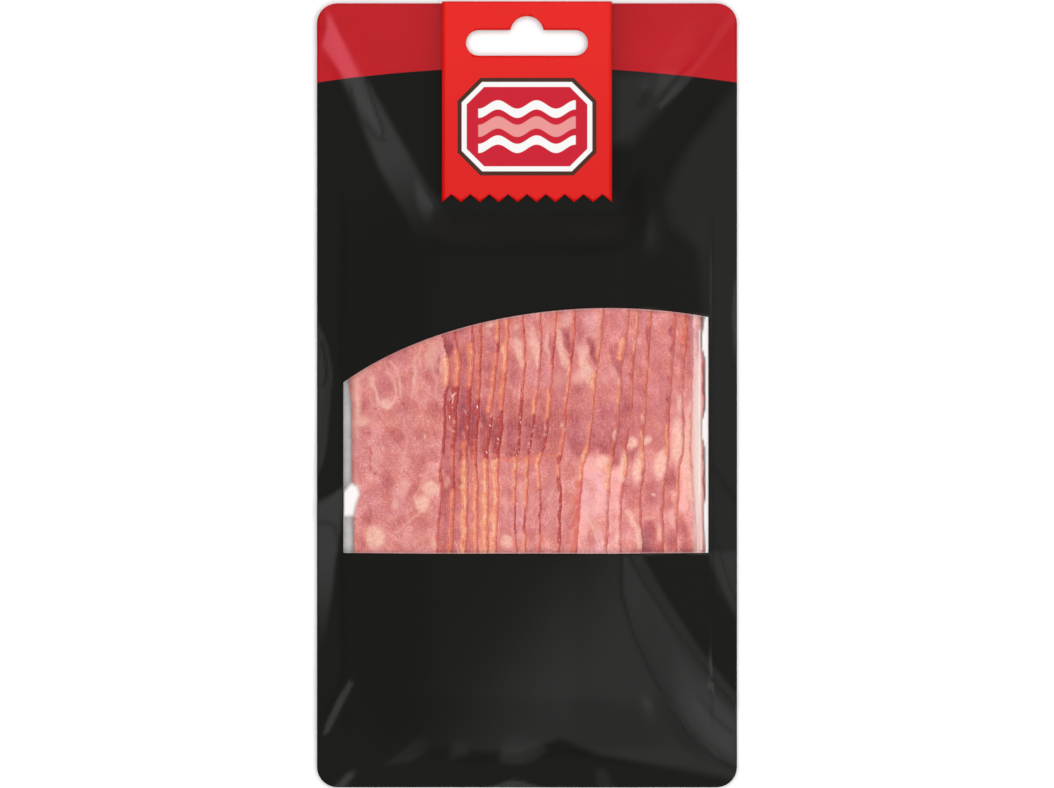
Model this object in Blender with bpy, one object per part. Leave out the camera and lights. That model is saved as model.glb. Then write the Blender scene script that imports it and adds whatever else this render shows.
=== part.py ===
"""Vacuum pack of sliced bacon, lying on its back with the printed side up.

A pouch of two films sealed round the edge holds eighteen shingled slices. The front film has a
clear window, and a label folded over the top edge carries the hang slot. Metres, +Z up, +X to the
right and +Y towards the pack's top. The origin is at the bottom centre of the whole pack.
"""

import math

import bmesh
import bpy
import numpy as np

MM = 0.001

# Pouch outline
PACK_WIDTH = 110 * MM
POUCH_BOTTOM_Y = -103 * MM
POUCH_TOP_Y = 102.3 * MM
CORNER_RADIUS = 5.3 * MM
HALF_WIDTH = PACK_WIDTH / 2

# Films, drawn thicker than the real 0.12 mm, and the clearance left between neighbouring pieces
FILM = 0.4 * MM
GAP = 0.3 * MM

# Where the two films meet: the middle of the seal above the table, how far the side seals curl
# down towards the rim, and how far the rim ripples
SEAL_MIDDLE_Z = 1.4 * MM
SEAL_SIDE = 5.7 * MM
SEAL_CURL = 0.45 * MM
RIPPLE = 0.35 * MM
RIPPLE_LENGTH = 13 * MM
RIPPLE_SWELL = 29 * MM
RIPPLE_FROM_X = 27 * MM
RIPPLE_FULL_X = 47 * MM
FOOT_RIPPLE_LENGTH = 12 * MM
FOOT_RIPPLE_RISE = 8 * MM

# The slices' layout. Slice 1 lies on top at the left, and each next one reaches further right
SLICE_COUNT = 18
SLICE_PITCH = 1.2 * MM
FIRST_LEFT_X = -45.9 * MM
LEFT_STEP = 3.76 * MM
FIRST_RIGHT_X = -21.2 * MM
RIGHT_STEPS_MM = [3.1, 3.2, 2.3, 2.9, 3.2, 4.9, 3.7, 3.7, 4.4, 7.1, 7.1, 2.6, 3.9, 6.3, 3.1, 2.9, 3.4]
SLICES_BOTTOM_Y = -75 * MM
SLICES_TOP_Y = 33 * MM
SLICE_CORNER = 3 * MM
CORNER_TURN = np.radians([0, 30, 60, 90])
SLICE_MIDDLE_ROWS = np.linspace(-57, 21, 7) * MM
END_WAVE = 1.2 * MM

# The slices' long edges: how they lean, wave and step in at the seam between the two muscles
EDGE_LEAN = 0.03
LEAN_LOW_Y = -60 * MM
LEAN_HIGH_Y = 30 * MM
EDGE_WAVE = 0.25 * MM
RIGHT_WAVE_LENGTH = 7 * MM
LEFT_WAVE_LENGTH = 11 * MM
SEAM_Y = -17 * MM
SEAM_RUN = 5 * MM
SEAM_NOTCH = 0.7 * MM
UPRIGHT_FROM = 13
UPRIGHT_AFTER = 3

# How far beyond the slices the film stays up, and how far out it then comes down to the seal
FOOTPRINT_MARGIN = 1.5 * MM
SLOPE_SIDE = 1.7 * MM
SLOPE_TOP = 15 * MM
SLOPE_BOTTOM = 17 * MM

# Clear window in the front film: straight sides and foot under an elliptic arch
WINDOW_LEFT_X = -48.06 * MM
WINDOW_RIGHT_X = 47.5 * MM
WINDOW_BOTTOM_Y = -41.6 * MM
ARCH_TOP = (21.7 * MM, 22.4 * MM)
ARCH_RADII = (91.7 * MM, 55.2 * MM)
ARCH_POINTS = 19

# Heights between which the cutters reach
BELOW_ALL = -5 * MM
ABOVE_ALL = 20 * MM
ABOVE_BACK_FILM = 0.9 * MM

# Label folded over the top edge, with pinked ends
LABEL_WIDTH = 44.5 * MM
LABEL_THICK = 0.4 * MM
LABEL_END_Y = 50.2 * MM
LABEL_FIRST_ROW = 8 * MM
TEETH = 9
TOOTH_DEPTH = 2.1 * MM

# Hang slot: a bar with round ends and a dome over its middle
SLOT_WIDTH = 32 * MM
SLOT_HEIGHT = 6.75 * MM
SLOT_MIDDLE_Y = 91.95 * MM
DOME_RADIUS = 4.4 * MM
DOME_MIDDLE_Y = 94.6 * MM

BLACK = (0.012, 0.012, 0.011, 1)
CLEAR = (0.85, 0.87, 0.88, 0.3)
RED = (0.76, 0.015, 0.012, 1)
MEAT = (0.62, 0.19, 0.18, 1)


def smooth(t):
    """0 below 0, 1 above 1, and a smooth S between."""
    t = np.clip(t, 0, 1)
    return t * t * (3 - 2 * t)


# The slices

SLICES_BASE_Z = FILM + GAP
LEFT_EDGES = FIRST_LEFT_X + LEFT_STEP * np.arange(SLICE_COUNT)
RIGHT_EDGES = FIRST_RIGHT_X + MM * np.concatenate([[0], np.cumsum(RIGHT_STEPS_MM)])


def right_edge(k, y):
    """Where slice k ends on the right at y: it leans, steps in at the seam and waves a little."""
    shaped = 1 - smooth((k - UPRIGHT_FROM) / UPRIGHT_AFTER)
    lean = EDGE_LEAN * shaped * (np.clip(y, LEAN_LOW_Y, LEAN_HIGH_Y) - SEAM_Y)
    notch = SEAM_NOTCH * shaped * smooth((SEAM_Y - y) / SEAM_RUN)
    wave = EDGE_WAVE * np.sin(y / RIGHT_WAVE_LENGTH + 1.7 * k)
    return RIGHT_EDGES[k] + lean - notch + wave


def left_edge(k, y):
    """Where slice k starts on the left at y, under the slices before it from the second one on."""
    return LEFT_EDGES[k] + 1.5 * EDGE_WAVE * np.sin(y / LEFT_WAVE_LENGTH + 0.9 * k)


def layers_under(k, x):
    """How many slices lie under slice k at x: it climbs one for each left edge that it passes."""
    return np.clip((x - LEFT_EDGES[k]) / LEFT_STEP, 0, SLICE_COUNT - 1 - k)


def stack_top(x, y):
    """The height of the topmost slice's upper face at each x, for slices at this y."""
    top = np.full(x.shape, SLICES_BASE_Z)
    for k in range(SLICE_COUNT):
        there = (x >= left_edge(k, y)) & (x <= right_edge(k, y))
        height = SLICES_BASE_Z + SLICE_PITCH * (layers_under(k, x) + 1)
        top = np.where(there, np.maximum(top, height), top)
    return top


def crest(x, reach):
    """An upper bound of the stack within reach of x, at every y, with the gap above it."""
    near = x[..., None] + np.linspace(-reach, reach, CREST_SAMPLES)
    heights = [stack_top(near, y).max(axis=-1) for y in CREST_ROWS]
    return np.max(heights, axis=0)


# The films' surfaces

CREST_SAMPLES = 15
CREST_ROWS = np.linspace(SLICES_BOTTOM_Y, SLICES_TOP_Y, 13)
FOOT_X = HALF_WIDTH - SEAL_SIDE - SLOPE_SIDE
FOOT_TOP_Y = SLICES_TOP_Y + FOOTPRINT_MARGIN
FOOT_BOTTOM_Y = SLICES_BOTTOM_Y - FOOTPRINT_MARGIN
INNER_X = HALF_WIDTH - SEAL_SIDE
INNER_TOP_Y = FOOT_TOP_Y + SLOPE_TOP
INNER_BOTTOM_Y = FOOT_BOTTOM_Y - SLOPE_BOTTOM
COLUMNS_OVER_SLICES = np.linspace(-FOOT_X, FOOT_X, 21)
COLUMN_STEP = COLUMNS_OVER_SLICES[1] - COLUMNS_OVER_SLICES[0]


def seal_middle(x, y):
    """The seal's middle height: flat under the label, curled and rippled at the sides and the foot."""
    side = smooth((np.abs(x) - RIPPLE_FROM_X) / (RIPPLE_FULL_X - RIPPLE_FROM_X))
    side_ripple = np.sin(y / RIPPLE_LENGTH + 2 * np.sign(x)) * np.cos(y / RIPPLE_SWELL)
    foot = smooth((INNER_BOTTOM_Y - y) / FOOT_RIPPLE_RISE)
    foot_ripple = foot * np.sin(x / FOOT_RIPPLE_LENGTH)
    curl = SEAL_CURL * np.clip((np.abs(x) - HALF_WIDTH) / SEAL_SIDE + 0.5, -0.5, 0.5)
    return SEAL_MIDDLE_Z - curl + RIPPLE * (side * side_ripple + (1 - side) * foot_ripple)


def fullness(x, y):
    """1 over the slices, falling to 0 where the two films meet."""
    across = 1 - smooth((np.abs(x) - FOOT_X) / (INNER_X - FOOT_X))
    up = 1 - smooth((y - FOOT_TOP_Y) / SLOPE_TOP)
    down = 1 - smooth((FOOT_BOTTOM_Y - y) / SLOPE_BOTTOM)
    return across * up * down


def front_inside(x, y):
    """Inner face of the front film."""
    middle = seal_middle(x, y)
    return middle + fullness(x, y) * (crest(x, COLUMN_STEP) - middle)


def back_inside(x, y):
    """Inner face of the back film, flat on the table under the slices."""
    middle = seal_middle(x, y)
    return middle + fullness(x, y) ** 0.5 * (FILM - middle)


def columns(limit):
    """Grid lines across the pack, out to x = limit on both sides."""
    return np.concatenate([[-limit], COLUMNS_OVER_SLICES, [limit]])


def rows(bottom, top):
    """Grid lines up the pack between bottom and top, close together where the film slopes."""
    slope_bottom = np.linspace(INNER_BOTTOM_Y, FOOT_BOTTOM_Y, 5)
    over_slices = np.linspace(FOOT_BOTTOM_Y, FOOT_TOP_Y, 8)[1:-1]
    slope_top = np.linspace(FOOT_TOP_Y, INNER_TOP_Y, 5)
    lines = np.concatenate([slope_bottom, over_slices, slope_top])
    return lines[(lines >= bottom) & (lines <= top)]


# Meshes and objects


def material(name, colour, roughness, metallic=0.0):
    made = bpy.data.materials.new(name)
    made.use_nodes = True
    shader = made.node_tree.nodes["Principled BSDF"]
    shader.inputs["Base Color"].default_value = colour
    shader.inputs["Roughness"].default_value = roughness
    shader.inputs["Metallic"].default_value = metallic
    shader.inputs["Alpha"].default_value = colour[3]
    made.diffuse_color = colour
    return made


def add_object(name, bm, finish=None):
    bmesh.ops.recalc_face_normals(bm, faces=bm.faces)
    mesh = bpy.data.meshes.new(name)
    bm.to_mesh(mesh)
    bm.free()
    made = bpy.data.objects.new(name, mesh)
    bpy.context.scene.collection.objects.link(made)
    if finish is None:
        made.hide_render = True
        made.display_type = "WIRE"
    else:
        mesh.materials.append(finish)
    return made


def two_sided(x, y, upper, lower, pinched=False):
    """A closed body between two height fields on one grid. Pinched ones share their rim's points."""
    bm = bmesh.new()
    count_y, count_x = x.shape
    on_rim = np.zeros(x.shape, bool)
    on_rim[[0, -1], :] = True
    on_rim[:, [0, -1]] = True
    top = [bm.verts.new(p) for p in np.stack([x, y, upper], -1).reshape(-1, 3)]
    if pinched:
        shared = on_rim.ravel()
        points = np.stack([x, y, lower], -1).reshape(-1, 3)
        bottom = [top[i] if shared[i] else bm.verts.new(p) for i, p in enumerate(points)]
    else:
        bottom = [bm.verts.new(p) for p in np.stack([x, y, lower], -1).reshape(-1, 3)]
    at = np.arange(x.size).reshape(x.shape)
    for j in range(count_y - 1):
        for i in range(count_x - 1):
            ring = [at[j, i], at[j, i + 1], at[j + 1, i + 1], at[j + 1, i]]
            bm.faces.new([top[n] for n in ring])
            bm.faces.new([bottom[n] for n in reversed(ring)])
    if not pinched:
        rim = [*at[0, :], *at[1:, -1], *at[-1, -2::-1], *at[-2:0:-1, 0]]
        for a, b in zip(rim, rim[1:] + rim[:1]):
            bm.faces.new([bottom[a], bottom[b], top[b], top[a]])
    return bm


def prism(outline, low, high):
    """An upright prism over a closed outline of (x, y) points."""
    bm = bmesh.new()
    base = bm.faces.new([bm.verts.new((px, py, low)) for px, py in outline])
    raised = bmesh.ops.extrude_face_region(bm, geom=[base])
    lifted = [v for v in raised["geom"] if isinstance(v, bmesh.types.BMVert)]
    bmesh.ops.translate(bm, verts=lifted, vec=(0, 0, high - low))
    return bm


def boolean(target, operation, other):
    step = target.modifiers.new(other.name, "BOOLEAN")
    step.operation = operation
    step.solver = "EXACT"
    step.object = other


def window_outline(inset):
    """The window's outline, moved inwards by inset, with the arch as the ellipse's own points."""
    left, right = WINDOW_LEFT_X + inset, WINDOW_RIGHT_X - inset
    x = np.linspace(right, left, ARCH_POINTS)
    drop = ARCH_RADII[1] * (1 - np.sqrt(1 - ((x - ARCH_TOP[0]) / ARCH_RADII[0]) ** 2))
    arch = list(zip(x, ARCH_TOP[1] - inset - drop))
    foot = WINDOW_BOTTOM_Y + inset
    return [(left, foot), (right, foot), *arch]


def slot_outline():
    """Half circles at both ends of the bar, and the dome's arc where it stands above the bar."""
    radius = SLOT_HEIGHT / 2
    reach = SLOT_WIDTH / 2 - radius
    rise = SLOT_MIDDLE_Y + radius - DOME_MIDDLE_Y
    start = math.asin(rise / DOME_RADIUS)
    points = []
    for angle in np.linspace(-math.pi / 2, math.pi / 2, 9):
        points.append((reach + radius * math.cos(angle), SLOT_MIDDLE_Y + radius * math.sin(angle)))
    for angle in np.linspace(start, math.pi - start, 11):
        points.append((DOME_RADIUS * math.cos(angle), DOME_MIDDLE_Y + DOME_RADIUS * math.sin(angle)))
    for angle in np.linspace(math.pi / 2, 3 * math.pi / 2, 9):
        points.append((-reach + radius * math.cos(angle), SLOT_MIDDLE_Y + radius * math.sin(angle)))
    return points


def slice_rows(bottom, top):
    """Rows up a slice: its round corners, and more of them at the seam between the two muscles."""
    corner = SLICE_CORNER * (1 - np.cos(CORNER_TURN))
    return np.concatenate([bottom + corner, SLICE_MIDDLE_ROWS, top - corner[::-1]])


def make_slices(finish):
    """Eighteen strips with rounded corners, each bent where the climb ends, at the last left edge."""
    bend = LEFT_EDGES[-1]
    for k in range(SLICE_COUNT):
        bottom = SLICES_BOTTOM_Y + END_WAVE * math.sin(2.3 * k)
        top = SLICES_TOP_Y + END_WAVE * math.sin(1.9 * k + 1)
        y = slice_rows(bottom, top)
        narrowing = np.zeros(len(y))
        narrowing[:4] = SLICE_CORNER * (1 - np.sin(CORNER_TURN))
        narrowing[-4:] = narrowing[3::-1]
        left = left_edge(k, y) + narrowing
        right = right_edge(k, y) - narrowing
        is_bent = LEFT_EDGES[k] < bend < RIGHT_EDGES[k]
        middle = np.full(len(y), bend) if is_bent else (left + right) / 2
        x = np.stack([left, middle, right], axis=1)
        under = SLICES_BASE_Z + SLICE_PITCH * layers_under(k, x)
        grid_y = np.repeat(y[:, None], 3, axis=1)
        bm = two_sided(x, grid_y, under + SLICE_PITCH - GAP, under)
        add_object(f"bacon_slice_{k + 1:02d}", bm, finish)


def make_pouch(finish):
    """The two films as one shell: the outer pillow less the room inside, the window and the slot."""
    turn = np.radians([90, 60, 30, 0])
    corner_rise = CORNER_RADIUS * (1 - np.sin(turn))
    corner_inset = CORNER_RADIUS * (1 - np.cos(turn))
    header = np.linspace(INNER_TOP_Y, POUCH_TOP_Y - CORNER_RADIUS, 6)[1:-1]
    y = np.concatenate([
        POUCH_BOTTOM_Y + corner_rise,
        rows(INNER_BOTTOM_Y, INNER_TOP_Y),
        header,
        POUCH_TOP_Y - corner_rise[::-1],
    ])
    inset = np.zeros(len(y))
    inset[:4] = corner_inset
    inset[-4:] = corner_inset[::-1]
    lines = np.concatenate([[-HALF_WIDTH], columns(INNER_X), [HALF_WIDTH]])
    x = lines[None, :] * (1 - inset / HALF_WIDTH)[:, None]
    grid_y = np.repeat(y[:, None], len(lines), axis=1)
    upper = front_inside(x, grid_y) + FILM
    lower = back_inside(x, grid_y) - FILM
    pouch = add_object("pouch", two_sided(x, grid_y, upper, lower), finish)

    x, grid_y = np.meshgrid(columns(INNER_X), rows(INNER_BOTTOM_Y, INNER_TOP_Y))
    inside = two_sided(x, grid_y, front_inside(x, grid_y), back_inside(x, grid_y), pinched=True)
    boolean(pouch, "DIFFERENCE", add_object("cut_inside", inside))
    window = prism(window_outline(0), ABOVE_BACK_FILM, ABOVE_ALL)
    boolean(pouch, "DIFFERENCE", add_object("cut_window", window))
    slot = add_object("cut_slot", prism(slot_outline(), BELOW_ALL, ABOVE_ALL))
    boolean(pouch, "DIFFERENCE", slot)
    return slot


def make_window_film(finish):
    """The clear part of the front film, a gap inside the window's edge."""
    x, y = np.meshgrid(columns(INNER_X), rows(FOOT_BOTTOM_Y, FOOT_TOP_Y))
    inside = front_inside(x, y)
    pane = add_object("window_film", two_sided(x, y, inside + FILM, inside), finish)
    outline = prism(window_outline(GAP), BELOW_ALL, ABOVE_ALL)
    boolean(pane, "INTERSECT", add_object("keep_window", outline))


def make_label(finish, slot):
    """A strip folded over the top edge, its two ends cut with pinking shears."""
    clear = FILM + GAP
    fold = np.radians(np.linspace(90, -90, 7))
    leg_y = np.array([LABEL_END_Y, LABEL_END_Y + LABEL_FIRST_ROW])
    pieces = []
    for offset, bulge in ((clear, GAP), (clear + LABEL_THICK, GAP + LABEL_THICK)):
        fold_y = POUCH_TOP_Y + bulge * np.cos(fold)
        fold_z = SEAL_MIDDLE_Z + offset * np.sin(fold)
        y = np.concatenate([leg_y, fold_y, leg_y[::-1]])
        z = np.concatenate([[fold_z[0]] * 2, fold_z, [fold_z[-1]] * 2])
        pieces.append((y, z))
    x = np.linspace(-LABEL_WIDTH / 2, LABEL_WIDTH / 2, 2 * TEETH + 1)
    notch = TOOTH_DEPTH * (np.arange(len(x)) % 2)
    bm = bmesh.new()
    shells = []
    for y, z in pieces:
        grid_y = np.repeat(y[:, None], len(x), axis=1)
        grid_y[0] += notch
        grid_y[-1] += notch
        shells.append([
            [bm.verts.new((x[i], grid_y[j, i], z[j])) for i in range(len(x))] for j in range(len(y))
        ])
    inner, outer = shells
    last_row, last_column = len(inner) - 1, len(x) - 1
    for j in range(last_row):
        for i in range(last_column):
            for shell in shells:
                bm.faces.new([shell[j][i], shell[j][i + 1], shell[j + 1][i + 1], shell[j + 1][i]])
    for j in range(last_row):
        for i in (0, last_column):
            bm.faces.new([inner[j][i], inner[j + 1][i], outer[j + 1][i], outer[j][i]])
    for i in range(last_column):
        for j in (0, last_row):
            bm.faces.new([inner[j][i], inner[j][i + 1], outer[j][i + 1], outer[j][i]])
    boolean(add_object("hang_label", bm, finish), "DIFFERENCE", slot)


def main():
    for old in list(bpy.data.objects):
        bpy.data.objects.remove(old)
    make_slices(material("cured_bacon", MEAT, 0.35))
    slot = make_pouch(material("printed_film", BLACK, 0.25))
    make_window_film(material("clear_film", CLEAR, 0.1))
    make_label(material("label_paper", RED, 0.4), slot)


main()
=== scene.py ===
import math

import bpy
import numpy as np
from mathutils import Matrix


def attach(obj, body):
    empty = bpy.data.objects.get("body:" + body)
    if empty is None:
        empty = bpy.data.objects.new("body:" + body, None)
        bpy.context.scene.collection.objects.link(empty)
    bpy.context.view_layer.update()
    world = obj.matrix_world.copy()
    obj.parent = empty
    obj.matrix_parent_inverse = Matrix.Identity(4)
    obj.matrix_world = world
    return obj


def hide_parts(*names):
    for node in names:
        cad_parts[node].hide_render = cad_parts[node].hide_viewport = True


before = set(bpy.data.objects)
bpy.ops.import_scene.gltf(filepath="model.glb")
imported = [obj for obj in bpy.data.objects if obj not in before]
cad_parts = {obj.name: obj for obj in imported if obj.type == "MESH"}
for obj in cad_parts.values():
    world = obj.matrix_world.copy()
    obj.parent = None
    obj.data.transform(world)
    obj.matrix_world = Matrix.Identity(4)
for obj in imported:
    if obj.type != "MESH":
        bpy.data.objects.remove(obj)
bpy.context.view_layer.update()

# A vacuum pack of sliced bacon on its back. Everything is worked out in millimetres, in the same frame
# as the CAD, and turned into metres when a mesh is made.
mm = 0.001


# Numbers and arrays

def smooth(t):
    # t * t * (3 - 2t), held between 0 and 1
    t = np.clip(t, 0, 1)
    return t * t * (3 - 2 * t)


def wobble(x, y, size, seed):
    # a sum of sine waves in seeded directions, about -1 to 1, with humps about size across
    waves = 7
    draw = np.random.default_rng(seed)
    total = np.zeros(np.broadcast(x, y).shape)
    for _ in range(waves):
        turn, phase, pace = draw.uniform(0, 2 * np.pi, 2).tolist() + [draw.uniform(0.6, 1.5)]
        total += np.sin(2 * np.pi * pace * (x * math.cos(turn) + y * math.sin(turn)) / (2 * size) + phase)
    return total / math.sqrt(waves)


def ripple(y, seed, lengths=(5.1, 2.7, 1.4, 0.8)):
    # a line that wanders between about -1 and 1
    draw = np.random.default_rng(seed)
    total = sum(np.sin(2 * np.pi * y / length + draw.uniform(0, 2 * np.pi)) for length in lengths)
    return total / math.sqrt(len(lengths))


def grouped(row, count=2):
    # a flat row of numbers as tuples of count numbers
    return list(zip(*[iter(row)] * count))


def lineDistance(x, y, row):
    # distance from a line given as x, y, value, x, y, value ...; which side of it, and the value nearest
    points = grouped(row, 3)
    best = np.full(np.broadcast(x, y).shape, 1e9)
    side = np.zeros(best.shape)
    value = np.zeros(best.shape)
    for (ax, ay, av), (bx, by, bv) in zip(points, points[1:]):
        dx, dy = bx - ax, by - ay
        t = np.clip(((x - ax) * dx + (y - ay) * dy) / (dx * dx + dy * dy), 0, 1)
        away = np.hypot(x - ax - t * dx, y - ay - t * dy)
        nearer = away < best
        best = np.where(nearer, away, best)
        side = np.where(nearer, np.sign((x - ax) * dy - (y - ay) * dx), side)
        value = np.where(nearer, av + t * (bv - av), value)
    return best, side, value


def awayFrom(x, y, row):
    # distance from a line given as x, y, x, y ...
    return lineDistance(x, y, [v for px, py in grouped(row) for v in (px, py, 0)])[0]


# Meshes

def addObject(name, data):
    made = bpy.data.objects.new(name, data)
    bpy.context.scene.collection.objects.link(made)
    return made


def paint(piece, name, values):
    # a number, or four of them, kept at every point of the piece
    kind, field = ("FLOAT", "value") if values.ndim == 1 else ("FLOAT_COLOR", "color")
    piece.data.attributes.new(name, kind, "POINT").data.foreach_set(field, values.ravel())


def makeMesh(name, points, faces, materials, faceMaterial=None, flatFaces=None):
    # points in millimetres, faces as lists of point numbers
    mesh = bpy.data.meshes.new(name)
    mesh.from_pydata((np.asarray(points) * mm).tolist(), [], faces)
    for material in materials:
        mesh.materials.append(material)
    shadedSmooth = np.ones(len(mesh.polygons), bool)
    if flatFaces is not None:
        shadedSmooth[flatFaces] = False
    mesh.polygons.foreach_set("use_smooth", shadedSmooth)
    if faceMaterial is not None:
        mesh.polygons.foreach_set("material_index", np.asarray(faceMaterial, np.int32))
    mesh.update()
    return addObject(name, mesh)


def closedSheet(name, upper, lower, materials, keep=None):
    # two grids of points, one above the other, joined by walls round the cells that are kept;
    # the upper side and the walls have the first material and the lower side the second
    rows, columns = upper.shape[:2]
    keep = np.ones((rows - 1, columns - 1), bool) if keep is None else keep
    at = np.arange(rows * columns).reshape(rows, columns)
    a, b, c, d = at[:-1, :-1], at[:-1, 1:], at[1:, 1:], at[1:, :-1]
    below = rows * columns
    top = np.stack([a, b, c, d], -1)[keep]
    around = np.pad(keep, 1)
    walls = []
    besides = around[:-2, 1:-1], around[1:-1, 2:], around[2:, 1:-1], around[1:-1, :-2]
    for first, second, beside in zip((a, b, c, d), (b, c, d, a), besides):
        edge = keep & ~beside
        walls.append(np.stack([second[edge], first[edge], first[edge] + below, second[edge] + below], -1))
    walls = np.concatenate(walls)
    faces = np.concatenate([top, top[:, ::-1] + below, walls])
    used, faces = np.unique(faces, return_inverse=True)
    faces = faces.reshape(-1, 4)
    points = np.concatenate([upper.reshape(-1, 3), lower.reshape(-1, 3)])[used]
    side = np.zeros(len(faces), int)
    side[len(top):2 * len(top)] = len(materials) - 1
    made = makeMesh(name, points, faces.tolist(), materials, side, np.arange(2 * len(top), len(faces)))
    return made, used


def cutOut(piece, outline, low=-5, high=20):
    # takes an upright prism over the outline out of the piece
    count = len(outline)
    points = [(px, py, z) for z in (low, high) for px, py in outline]
    sides = [[i, (i + 1) % count, count + (i + 1) % count, count + i] for i in range(count)]
    caps = [list(range(count))[::-1], list(range(count, 2 * count))]
    cutter = makeMesh("cutter", points, sides + caps, [])
    step = piece.modifiers.new("cut", "BOOLEAN")
    step.operation = "DIFFERENCE"
    step.solver = "EXACT"
    step.object = cutter
    graph = bpy.context.evaluated_depsgraph_get()
    made = bpy.data.meshes.new_from_object(piece.evaluated_get(graph))
    old = piece.data
    piece.modifiers.clear()
    piece.data = made
    made.name = piece.name
    bpy.data.meshes.remove(old)
    bpy.data.objects.remove(cutter)


# Shader nodes

def feed(tree, inputs, values):
    # gives each input a number, a colour or another node's output
    for name, value in values.items():
        if isinstance(value, bpy.types.NodeSocket):
            tree.links.new(value, inputs[name])
        else:
            inputs[name].default_value = value


def put(tree, kind, inputs=None, **settings):
    # adds a node and feeds its inputs
    made = tree.nodes.new("ShaderNode" + kind)
    for name, value in settings.items():
        setattr(made, name, value)
    feed(tree, made.inputs, inputs or {})
    return made


def calc(tree, operation, *values):
    return put(tree, "Math", dict(enumerate(values)), operation=operation).outputs[0]


def add(tree, first, second):
    return calc(tree, "ADD", first, second)


def minus(tree, first, second):
    return calc(tree, "SUBTRACT", first, second)


def times(tree, first, second):
    return calc(tree, "MULTIPLY", first, second)


def scaled(tree, vector, amount):
    return put(tree, "VectorMath", {0: vector, "Scale": amount}, operation="SCALE").outputs[0]


def stretched(tree, place, up):
    # the place with its y made smaller, which draws a pattern out along y
    return put(tree, "Mapping", {"Vector": place, "Scale": (1, up, 1)}).outputs[0]


def objectPlace(tree):
    return put(tree, "TexCoord").outputs["Object"]


def painted(tree, name, output="Fac"):
    return put(tree, "Attribute", attribute_name=name).outputs[output]


def fade(tree, value, low, high, start=0.0, end=1.0):
    # a smooth step from start at low to end at high
    inputs = {"Value": value, "From Min": low, "From Max": high, "To Min": start, "To Max": end}
    return put(tree, "MapRange", inputs, interpolation_type="SMOOTHSTEP").outputs[0]


def blend(tree, amount, first, second, kind="MIX"):
    inputs = {0: amount, 6: first, 7: second}
    return put(tree, "Mix", inputs, data_type="RGBA", blend_type=kind).outputs[2]


def noise(tree, place, scale, detail, rough, distortion=0.0, seed=None):
    inputs = {"Vector": place, "Scale": scale, "Detail": detail, "Roughness": rough, "Distortion": distortion}
    if seed is None:
        return put(tree, "TexNoise", inputs).outputs[0]
    inputs["W"] = seed
    return put(tree, "TexNoise", inputs, noise_dimensions="4D").outputs[0]


def newGroup(name, inputs):
    # a node group that gives a colour, a roughness and a height, still empty but for its two end nodes
    tree = bpy.data.node_groups.new(name, "ShaderNodeTree")
    outputs = {"Color": "Color", "Roughness": "Float", "Height": "Float"}
    for way, sockets in (("INPUT", inputs), ("OUTPUT", outputs)):
        for socket, kind in sockets.items():
            tree.interface.new_socket(name=socket, in_out=way, socket_type="NodeSocket" + kind)
    return tree, tree.nodes.new("NodeGroupInput").outputs, tree.nodes.new("NodeGroupOutput").inputs


def newMaterial(name, colour, roughness):
    made = bpy.data.materials.new(name)
    made.use_nodes = True
    made.diffuse_color = (*colour, 1)
    shader = made.node_tree.nodes["Principled BSDF"]
    feed(made.node_tree, shader.inputs, {"Base Color": (*colour, 1), "Roughness": roughness})
    return made, made.node_tree, shader


# The stack of slices

stack = {
    "count": 18,
    "pitch": 1.2,
    "base": 0.7,
    "firstLeft": -45.9,
    "leftStep": 3.76,
    "bottom": -75,
    "top": 33,
    "corner": 3,
    "clear": 0.05,
}

# Right-hand edges, in millimetres across at these heights up the pack
edgeHeights = [-40.9, -33.0, -25.1, -18.6, -14.7, -9.4, -1.6, 7.6, 15.5, 19.9]
edgeAt = {
    1: [-23.3, -22.8, -22, -22.3, -21.5, -21.2, -21, -19.9, -22, -21.7],
    2: [-19.4, -19.1, -18.6, -18.9, -18.9, -18.3, -18.1, -17, -18.6, -18.6],
    3: [-15.7, -15.5, -15.2, -15.5, -15.5, -14.9, -14.7, -13.6, -13.9, -14.1],
    4: [-12.8, -12.8, -12.6, -13.1, -13.1, -12.6, -12.3, -11.8, -11.8, -11.8],
    5: [-10.2, -10, -10, -10.2, -10, -9.2, -8.9, -7.6, -7.1, -7.1],
    6: [-7.9, -7.6, -7.3, -7.3, -7.1, -6.3, -6, -5, -4.7, -4.7],
    7: [-2.6, -2.9, -2.9, -2.6, -1.8, -1.6, -1, -0.3, -0.5, -0.8],
    8: [-0.3, -0.3, 0.3, 0.3, 1, 1.8, 2.6, 3.7, 3.9, 3.7],
    9: [3.4, 3.7, 3.7, 3.1, 4.7, 5.5, 6.3, 6.8, 7.6, 7.9],
    10: [8.6, 8.9, 9.2, 8.4, 9.4, 10.2, 10.5, 11.8, 12.6, 12.6],
    11: [13.1, 13.6, 14.4, 14.7, 16.2, 16.8, 17.5, 18.6, 19.6, 20.2],
    12: [21, 21.2, 21.7, 22, 23, 23.8, 24.4, 24.9, 26.2, 26.7],
    13: [24.6, 24.6, 25.1, 26.5, 25.9, 26.7, 27.5, 28, 28.8, 29.1],
    14: [30.1, 29.9, 29.9, 30.9, 30.6, 30.6, 31.2, 31.7, 32.2, 32.7],
    15: [35.9, 35.6, 35.9, 36.9, 37.2, 37.2, 37.5, 38.2, 38.8, 38.8],
    16: [39.3, 39.3, 39.8, 40.1, 41.1, 41.1, 40.9, 41.1, 41.9, 41.9],
    17: [44.5, 44.3, 43.7, 43.2, 43, 43, 43.2, 43.5, 43.5, 43.5],
    18: [47.1, 46.9, 46.9, 46.9, 46.9, 46.9, 46.6, 46.9, 46.9, 46.9],
}


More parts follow.
